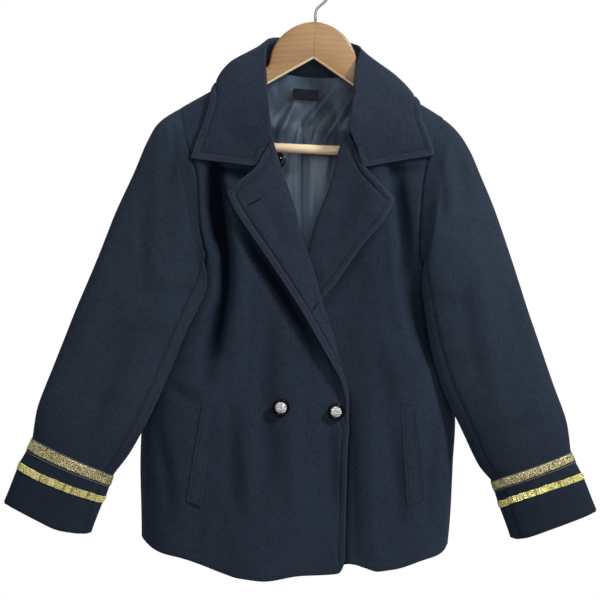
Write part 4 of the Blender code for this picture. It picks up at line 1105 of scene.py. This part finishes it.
def make_trim(side, form):
    """The glitter tape with its piping, and the braid, laid on the sleeve's surface."""
    phase = form[-1]
    past_seam = np.where(IN_FRONT, ease((INWARDS - SLEEVE_SEAM) / 0.012), ease((INWARDS - 0.6) / 0.3))
    for name, ends, finish, slot, thick, wobble in (
            ("border_", (BAND_ROWS[0] - 0.075, BAND_ROWS[1] + 0.17), thread, "wool", 0.5, 0.0),
            ("band_", BAND_ROWS, glitter, "gold_band", 1.5, 0.0),
            ("braid_", BRAID_ROWS, gold_braid, "gold_braid", 1.1, 0.22)):
        grid, normals, _ = sleeve_surface(*form, np.linspace(ends[0], ends[1], 12))
        grid = grid + normals * (WOOL / 2.0 + GAP * 0.3 + thick / 2.0)
        grid = grid + TRIM_JOG * unit(grid[-1:] - grid[:1]) * past_seam[None, :, None]
        step = np.linalg.norm(np.roll(grid, -1, axis=1) - grid, axis=-1)
        run = np.cumsum(step, axis=1) - step
        sway = wobble * np.sin(run / 7.0 + phase) + wobble * np.sin(run / 2.9)
        grid = grid + unit(grid[-1:] - grid[:1]) * sway[..., None]
        marks = {"edge": np.linalg.norm(grid - grid[:1], axis=-1), "run": run}
        nodes = [] if finish is thread else [name + side]
        make_wall(name + side + "_tape", grid, thick, finish, nodes, marks, ring=True)
        if finish is thread:
            for end, row in (("top", 0), ("low", -1)):
                make_cord("piping_" + side + "_" + end, grid[row], PIPING, ribbon, closed=True)


# --- collar and lapels ---
def collar_section(station):
    """One line of places across the collar: up its stand, over the fold, down its fall."""
    x, y, z = station[0:3]
    if y > 10.0:
        seam_z = float(neck_curve(np.array(float(x))))
        seam = np.array((x, float(back_y(x, seam_z)), seam_z + 1.8))
    else:
        seam_x, depth = (x - 5.0, front_y) if x < 0 else (x + 5.0, under_y)
        seam_z = z - 14.0 * float(ease((z + 150.0) / 40.0))
        if z > -125.0:
            seam_z = max(seam_z, float(shoulder_height(seam_x)) + 3.0)
        seam = np.array((seam_x, min(float(depth(seam_x, z)) - 2.0, y + 6.0), seam_z))
    fold, edge = np.array(station[0:3], float), np.array(station[3:6], float)
    bulge, belly = station[6:8]
    chord = edge - fold
    inward = -1.0 if chord[0] > 0.0 else 1.0
    down = unit(np.array((inward * abs(chord[2]), 0.0, -abs(chord[0]))))
    out = unit(np.array((chord[0] * 0.5, 60.0 if y > 10.0 else 0.0, abs(chord[0]))))
    points = [seam, mix(seam, fold, 0.6)]
    for v in (0.0, NOTCH / 2.0, NOTCH, 0.53, 0.77, 1.0):
        sag = belly * (v / NOTCH if v < NOTCH else (1.0 - v) / (1.0 - NOTCH))
        points.append(mix(fold, edge, v) + down * sag + out * bulge * math.sin(math.pi * v ** 1.4))
    return points


def make_collar():
    rows = [collar_section(station) for station in COLLAR_R + [COLLAR_BACK] + COLLAR_L[::-1]]
    grid = finer(np.array(rows), COLLAR_STATIONS, COLLAR_ACROSS)
    normals = normals_of(grid)
    flip = np.sign(((grid - INSIDE_NECK) * normals).sum(-1))[:, -6:].mean(axis=1)
    normals = normals * np.where(flip < 0.0, -1.0, 1.0)[:, None, None]
    tip = COLLAR_ACROSS // 3
    distance = distance_to(grid, grid[:, -1], grid[0, tip:], grid[-1, tip:])
    x, z = grid[..., 0], grid[..., 2]
    depth = crease_field(x, z, CREASES_COLLAR) * (grid[..., 1] < 0.0) + 0.5 * slack(x, z, 1.1)
    grid = grid - normals * (depth - edge_ridge(distance))[..., None]
    # The mark paints shade in the collar's creases.
    make_wall("collar_wool", grid, FOLDED_WOOL, wool_collar, ["collar"],
              {"edge": distance, "run": x + z, "painted_shade": np.clip(depth / 8.0, 0.0, 1.0)},
              (560, 170, 72000, "front_right", "front_left", "back_panel"))


def lapel_grid(rows, depth, outward, lifted):
    lines = []
    last = len(rows) - 1
    for i, (roll_x, roll_z, edge_x, edge_z) in enumerate(rows):
        belly = LAPEL_BELLY * max(0.0, 1.0 - i / 2.0)
        chord = np.array((edge_x - roll_x, 0.0, edge_z - roll_z), float)
        sag = unit(np.array((chord[2] * outward, 0.0, -abs(chord[0]))))
        line = []
        whole = ease((last - i) / 3.0)
        for inset, forward in ((TURN, 0.0), (0.9, -1.2), (0.0, -3.2)):
            x = roll_x + outward * inset * mix(0.3, 1.0, whole)
            line.append(np.array((x, float(depth(x, roll_z)) + forward * mix(0.6, 1.0, whole), roll_z)))
        for v in (0.07, 0.26, LAPEL_CORNER, 0.73, 1.0):
            share = v / LAPEL_CORNER if v < LAPEL_CORNER else (1.0 - v) / (1.0 - LAPEL_CORNER)
            point = np.array((roll_x, 0.0, roll_z)) + chord * v + sag * belly * share
            spring = LAPEL_SPRING * math.sin(math.pi * v) * (1.0 - 0.6 * i / last)
            lift = lifted * math.sin(math.pi * min(1.0, (i + 0.6) / last)) * v
            point[1] = float(depth(point[0], point[2])) - mix(0.3, 5.2, whole) - spring * whole - lift
            line.append(point)
        lines.append(line)
    return finer(np.array(lines), LAPEL_ROWS, LAPEL_ACROSS)


def make_lapel(side, creases, *shape):
    """Makes a lapel and returns its grid, which the buttonholes need."""
    grid = lapel_grid(*shape)
    distance = distance_to(grid, grid[:, -1], grid[0, LAPEL_ACROSS // 3:])
    x, z = grid[..., 0], grid[..., 2]
    field = crease_field(x, z, creases) + 0.4 * slack(x, z, 2.0 + shape[2])
    grid = grid - normals_of(grid) * (field - edge_ridge(distance))[..., None]
    # The mark paints shade in the lapel's creases.
    make_wall("lapel_" + side + "_wool", grid, FOLDED_WOOL, wool_collar, ["lapel_" + side],
              {"edge": distance, "run": z, "painted_shade": np.clip(field / 8.0, 0.0, 1.0)},
              (105, 350, 22000, "front_" + side))
    return grid


# --- lining and label ---
def lining_y(x, z):
    """The lining lies inside the back, and inside the creases pressed into it."""
    return back_y(x, z) - LINING_INSET - CREASE_DEPTH * np.maximum(crease_field(x, z, CREASES_BACK), 0.0)


def make_lining():
    s = np.linspace(0.0, 1.0, LINING_CELLS)
    share, along = s[:, None] ** 1.5, s[None, :]
    z = mix(-200.0, -800.0, share) + 0.0 * along
    right = np.where(z < -430.0, read(ROUND_R, z), read(ARMHOLE_R, z)) + LINING_SIDE
    left = np.where(z < -430.0, read(ROUND_L, z), read(ARMHOLE_L, z)) - LINING_SIDE
    x = mix(right, left, along)
    top = np.minimum(neck_curve(x) - 3.0, shoulder_height(x) - 30.0)
    z = z + (top - z) * (1.0 - share) ** 6 - 45.0 * np.sin(math.pi * along) ** 0.8 * share ** 3
    creased = crease_field(x, z, CREASES_LINING) * ease((-136.0 - z) / 12.0)
    sag = np.exp(-((x + 5.0) / 75.0) ** 2) * np.exp(-((z + 330.0) / 110.0) ** 2)
    y = lining_y(x, z) + np.clip(creased, -5.0, 1.6) - 12.0 * sag
    make_wall("lining_satin", np.stack((x, y, z), axis=-1), SATIN, satin, ["lining_back"],
              cut=(430, 700, 240000, "back_panel"))


def make_label():
    """A blank woven tape, which droops a little between its ends."""
    x, z, width, height = LABEL
    across = np.linspace(-0.5, 0.5, 28)[None, :] * width
    up = np.linspace(0.5, -0.5, 12)[:, None] * height
    x, z = x + across + 0.0 * up, z + up - 0.09 * across
    droop = 0.7 * np.sin(math.pi * (across / width + 0.5)) * (0.5 - up / height)
    grid = np.stack((x, lining_y(x, z) - SATIN / 2.0 - LABEL_LIFT - droop, z), axis=-1)
    make_wall("label_tape", grid, 0.7, tape, ["label"])


# --- welts, buttons, buttonholes ---
def make_welts():
    down = np.linspace(0.0, 1.0, 60)[:, None, None]
    across = np.linspace(0.0, 1.0, 18)[None, :, None]
    for side, corners, depth, creases, phase, lift, roll, line in (
            ("right", WELT_R, front_y, CREASES_FRONT_R, PHASE_FRONT_R, 0.5, 0.9, 0.15),
            ("left", WELT_L, under_y, CREASES_FRONT_L, PHASE_FRONT_L, -0.4, 0.7, 0.04)):
        a, b, c, d = np.array(corners)
        flat = mix(mix(a, b, across), mix(c, d, across), down)
        x, z = flat[..., 0], flat[..., 1]
        rolled = roll * (0.5 - 0.5 * np.cos(math.pi * np.minimum(1.0, 1.6 * across[..., 0])))
        cloth = depth(x, z) + crease_field(x, z, creases) + slack(x, z, phase)
        grid = np.stack((x, cloth - WOOL / 2.0 - lift - rolled, z), axis=-1)
        distance = distance_to(grid, grid[:, 0], grid[:, -1], grid[0], grid[-1])
        # Painted shade along each welt's edges, and a darker painted line down the left welt's outer side.
        sides = np.exp(-(distance / 1.5) ** 2) * line
        if side == "left":
            sides = sides + 0.4 * np.exp(-(distance_to(grid, grid[4:, -1]) / 1.5) ** 2)
        make_wall("welt_" + side + "_wool", grid, 1.6, wool_body, ["welt_" + side],
                  {"edge": distance + STITCH_IN - WELT_STITCH_IN, "run": z, "painted_shade": sides})


def revolve(name, place, y_cloth, facing, profile, sides, finish, nodes, faceted=False):
    """Turns a profile of radius and height about a button's axis; a faceted one is cut like a gem."""
    points = []
    rings = []
    for step, (radius, height) in enumerate(profile):
        y = y_cloth + facing * height
        twist = 0.5 * step if faceted else 0.0
        turns = [2.0 * math.pi * (k + twist) / sides for k in range(sides if radius else 1)]
        rings.append(list(range(len(points), len(points) + len(turns))))
        points += [(place[0] + radius * math.cos(t), y, place[1] + radius * math.sin(t)) for t in turns]
    pairs = list(zip(rings, rings[1:]))
    if len(rings[0]) > 1:
        pairs.append((rings[-1], rings[0]))
    faces = []
    for low, high in pairs:
        for k in range(sides):
            n = (k + 1) % sides
            corners = [low[k % len(low)], low[n % len(low)], high[n % len(high)], high[k % len(high)]]
            faces.append(list(dict.fromkeys(corners)))
    points = leaned(points, place, y_cloth, facing)
    place_mesh(name, points, faces, finish, nodes, smooth=not faceted)


def leaned(points, place, y_cloth, facing):
    """Shears a button's points, so that its face looks a little to one side and down."""
    points = np.array(points, float)
    height = np.maximum(facing * (points[:, 1] - y_cloth) - 1.0, 0.0)
    reach = (points[:, 0] - place[0]) * BUTTON_LEAN[0] + (points[:, 2] - place[1]) * BUTTON_LEAN[1]
    points[:, 0] += BUTTON_LEAN[0] * height
    points[:, 2] += BUTTON_LEAN[1] * height
    points[:, 1] -= facing * reach * np.minimum(height, 2.0) / 2.0
    return points


def make_button(side, place, above, facing, size=1.0):
    """A smooth black rim round a cut-glass face."""
    name = "button_" + side
    y_cloth = float(front_y(*place)) + above
    outer, inner = BUTTON_RADIUS * size, JEWEL_RADIUS * size
    rim = [(inner - 0.6, 2.6), (inner + 0.2, 4.9), (inner + 0.9, 5.9), (mix(inner, outer, 0.5), 6.6),
           (outer - 0.8, 6.0), (outer, 4.5), (outer - 0.3, 3.0), (outer - 2.2, 1.8), (4.0, 1.4),
           (4.0, 0.2), (2.0, 0.1)]
    face = [(0.0, 2.2), (inner - 0.4, 2.4), (inner, 4.6), (inner * 0.86, 6.0), (inner * 0.55, 7.2),
            (inner * 0.28, 7.7), (0.0, 7.8)]
    revolve(name + "_rim", place, y_cloth, facing, rim, 72, black_gloss, [name])
    revolve(name + "_jewel", place, y_cloth, facing, face, 14, crystal, [], faceted=True)


def make_buttonholes(lapel):
    """Two worked buttonholes on the turned lapel: a thread ridge round a slit."""
    flat = lapel.reshape(-1, 3)
    normals = normals_of(lapel).reshape(-1, 3)
    for number, (start, end) in enumerate(np.array(HOLES), 1):
        length = np.linalg.norm(end - start)
        along = (end - start) / length
        side = np.array((-along[1], along[0]))
        line = []
        for angle in np.arange(48) * 2.0 * math.pi / 48:
            reach = length / 2.0 * math.copysign(abs(math.cos(angle)) ** 0.5, math.cos(angle))
            spot = (start + end) / 2.0 + along * reach + side * HOLE_HALF * math.sin(angle)
            nearest = np.argmin((flat[:, 0] - spot[0]) ** 2 + (flat[:, 2] - spot[1]) ** 2
                                + 1e3 * (normals[:, 1] > -0.4))
            base = flat[nearest] + normals[nearest] * (FOLDED_WOOL / 2.0 + 0.15)
            line.append((spot[0], base[1], spot[1]))
        make_cord("buttonhole_%d" % number, line, HOLE_THREAD, thread, closed=True)


# --- hanger ---
def rounded(outline, times):
    """Cuts an outline's corners again and again, but keeps its first and last points."""
    for _ in range(times):
        cut = [outline[0]]
        for (ax, az), (bx, bz) in zip(outline, outline[1:]):
            cut += [(mix(ax, bx, share), mix(az, bz, share)) for share in (0.25, 0.75)]
        outline = [cut[0]] + cut[2:-1] + [outline[-1]]
    return outline


def in_hanger(x, z):
    turned_x = x * math.cos(TILT) + z * math.sin(TILT)
    turned_z = z * math.cos(TILT) - x * math.sin(TILT)
    return CROWN.x + turned_x, CROWN.z + turned_z


def make_arm(side_name, side):
    """One flat half of the hanger. All its rims are eased but those at the centre joint."""
    outline = [in_hanger(side * x, z) for x, z in rounded(ARM_OUTLINE, 3)]
    bm = bmesh.new()
    face = bm.faces.new([bm.verts.new((x * MM, -WOOD / 2.0 * MM, z * MM)) for x, z in outline])
    pushed = bmesh.ops.extrude_face_region(bm, geom=[face])
    moved = [item for item in pushed["geom"] if isinstance(item, bmesh.types.BMVert)]
    bmesh.ops.translate(bm, verts=moved, vec=(0.0, WOOD * MM, 0.0))
    bmesh.ops.recalc_face_normals(bm, faces=bm.faces)
    joint = (CROWN.x + 4.0) * MM
    rims = [edge for edge in bm.edges
            if abs(edge.verts[0].co.y - edge.verts[1].co.y) < 1e-5
            and max(abs(vert.co.x) for vert in edge.verts) > joint]
    bmesh.ops.bevel(bm, geom=rims, offset=ARM_BEVEL * MM, segments=4, affect="EDGES", profile=0.5)
    bmesh.ops.triangulate(bm, faces=[f for f in bm.faces if len(f.verts) > 4])
    mesh = bpy.data.meshes.new("hanger_wood_" + side_name)
    bm.to_mesh(mesh)
    bm.free()
    mesh.shade_smooth()
    mesh.set_sharp_from_angle(angle=math.radians(32.0))
    # The rim mark picks the bevels that face down, where the wood's finish paints a reflection.
    rim = mesh.attributes.new("rim", "FLOAT", "POINT")
    for vertex in mesh.vertices:
        eased = abs(vertex.co.y) < (WOOD / 2.0 - 0.1) * MM and vertex.normal.z < -0.1
        rim.data[vertex.index].value = float(eased)
    finish = wood_finish("hanger_wood_" + side_name, math.radians(-ARM_SLOPE * side))
    add_piece("hanger_wood_" + side_name, mesh, finish, ["hanger_arm_" + side_name])


def make_bar_and_hook():
    ends = [in_hanger(reach, -BAR_DROP) for reach in (-(BAR_REACH - GAP), BAR_REACH - GAP)]
    centre_z = -HOOK_RADIUS + HOOK_WIRE / 2.0
    route = [(CROWN.x, CROWN.z + GAP), (CROWN.x, centre_z - HOOK_RADIUS - HOOK_BEND)]
    for angle in np.radians(np.linspace(-60.0, 190.0, 21)):
        route.append((HOOK_RADIUS * math.cos(angle), centre_z + HOOK_RADIUS * math.sin(angle)))
    for name, line, radius, finish, slot, node, sides in (
            ("hanger_bar_turned", ends, BAR_DIAMETER / 2.0, wood_finish("hanger_bar_wood", TILT, 1.0),
             "wood", "hanger_bar", 40),
            ("hanger_hook_wire", rounded(route, 2), HOOK_WIRE / 2.0, wire_finish(),
             "wire", "hanger_hook", 20)):
        piece = make_cord(name, [(x, 0.0, z) for x, z in line], radius, finish, [node], sides)
        piece.data.set_sharp_from_angle(angle=math.radians(50.0))


# --- stage ---
def aim(thing, place):
    thing.location = place
    thing.rotation_euler = (FRAME_MIDDLE - thing.location).to_track_quat("-Z", "Y").to_euler()


def make_stage():
    scene = bpy.context.scene
    camera = link_new("camera", bpy.data.cameras.new("camera"))
    aim(camera, (FRAME_MIDDLE.x, -CAMERA_AWAY, FRAME_MIDDLE.z))
    camera.data.sensor_width = SENSOR
    camera.data.lens = SENSOR * (CAMERA_AWAY + CLOTH_FRONT) / FRAME_WIDE
    camera.data.clip_end = 100.0
    scene.camera = camera

    bm = bmesh.new()
    bmesh.ops.create_circle(bm, cap_ends=True, segments=96, radius=FLOOR_RADIUS)
    mesh = bpy.data.meshes.new("floor")
    bm.to_mesh(mesh)
    bm.free()
    mesh.materials.append(floor_finish())
    floor = link_new("floor", mesh)
    floor.location = (0.0, 0.0, FLOOR_HEIGHT)

    for name, place, size, power in LIGHTS:
        data = bpy.data.lights.new(name, "AREA")
        data.shape = "DISK"
        data.size = size
        data.energy = power
        aim(link_new(name, data), place)

    # The camera sees a plain white world; the coat is lit by a dimmer one.
    world = bpy.data.worlds.new("white")
    world.use_nodes = True
    tree = world.node_tree
    lit, seen = tree.nodes["Background"], tree.nodes.new("ShaderNodeBackground")
    for background, strength in ((lit, WORLD_LIGHT), (seen, 1.0)):
        background.inputs["Color"].default_value = (1.0, 1.0, 1.0, 1.0)
        background.inputs["Strength"].default_value = strength
    path = tree.nodes.new("ShaderNodeLightPath")
    choose = tree.nodes.new("ShaderNodeMixShader")
    tree.links.new(path.outputs["Is Camera Ray"], choose.inputs[0])
    tree.links.new(lit.outputs[0], choose.inputs[1])
    tree.links.new(seen.outputs[0], choose.inputs[2])
    tree.links.new(choose.outputs[0], tree.nodes["World Output"].inputs["Surface"])
    scene.world = world
    scene.view_settings.view_transform = "Standard"


make_stage()
make_fronts()
make_back()
make_sleeves()
make_collar()
right_lapel = make_lapel("right", CREASES_LAPEL_R, LAPEL_R, front_y, -1.0, 9.0)
make_lapel("left", CREASES_LAPEL_L, LAPEL_L, under_y, 1.0, 3.0)
make_lining()
make_label()
make_welts()
make_button("right", BUTTON_R, -WOOL / 2.0 - GAP, -1.0)
make_button("left", BUTTON_L, -WOOL / 2.0 - GAP, -1.0, 0.96)
make_button("spare", BUTTON_SPARE, WOOL / 2.0 + GAP + 1.0, 1.0)
make_buttonholes(right_lapel)
make_arm("right", -1.0)
make_arm("left", 1.0)
make_bar_and_hook()
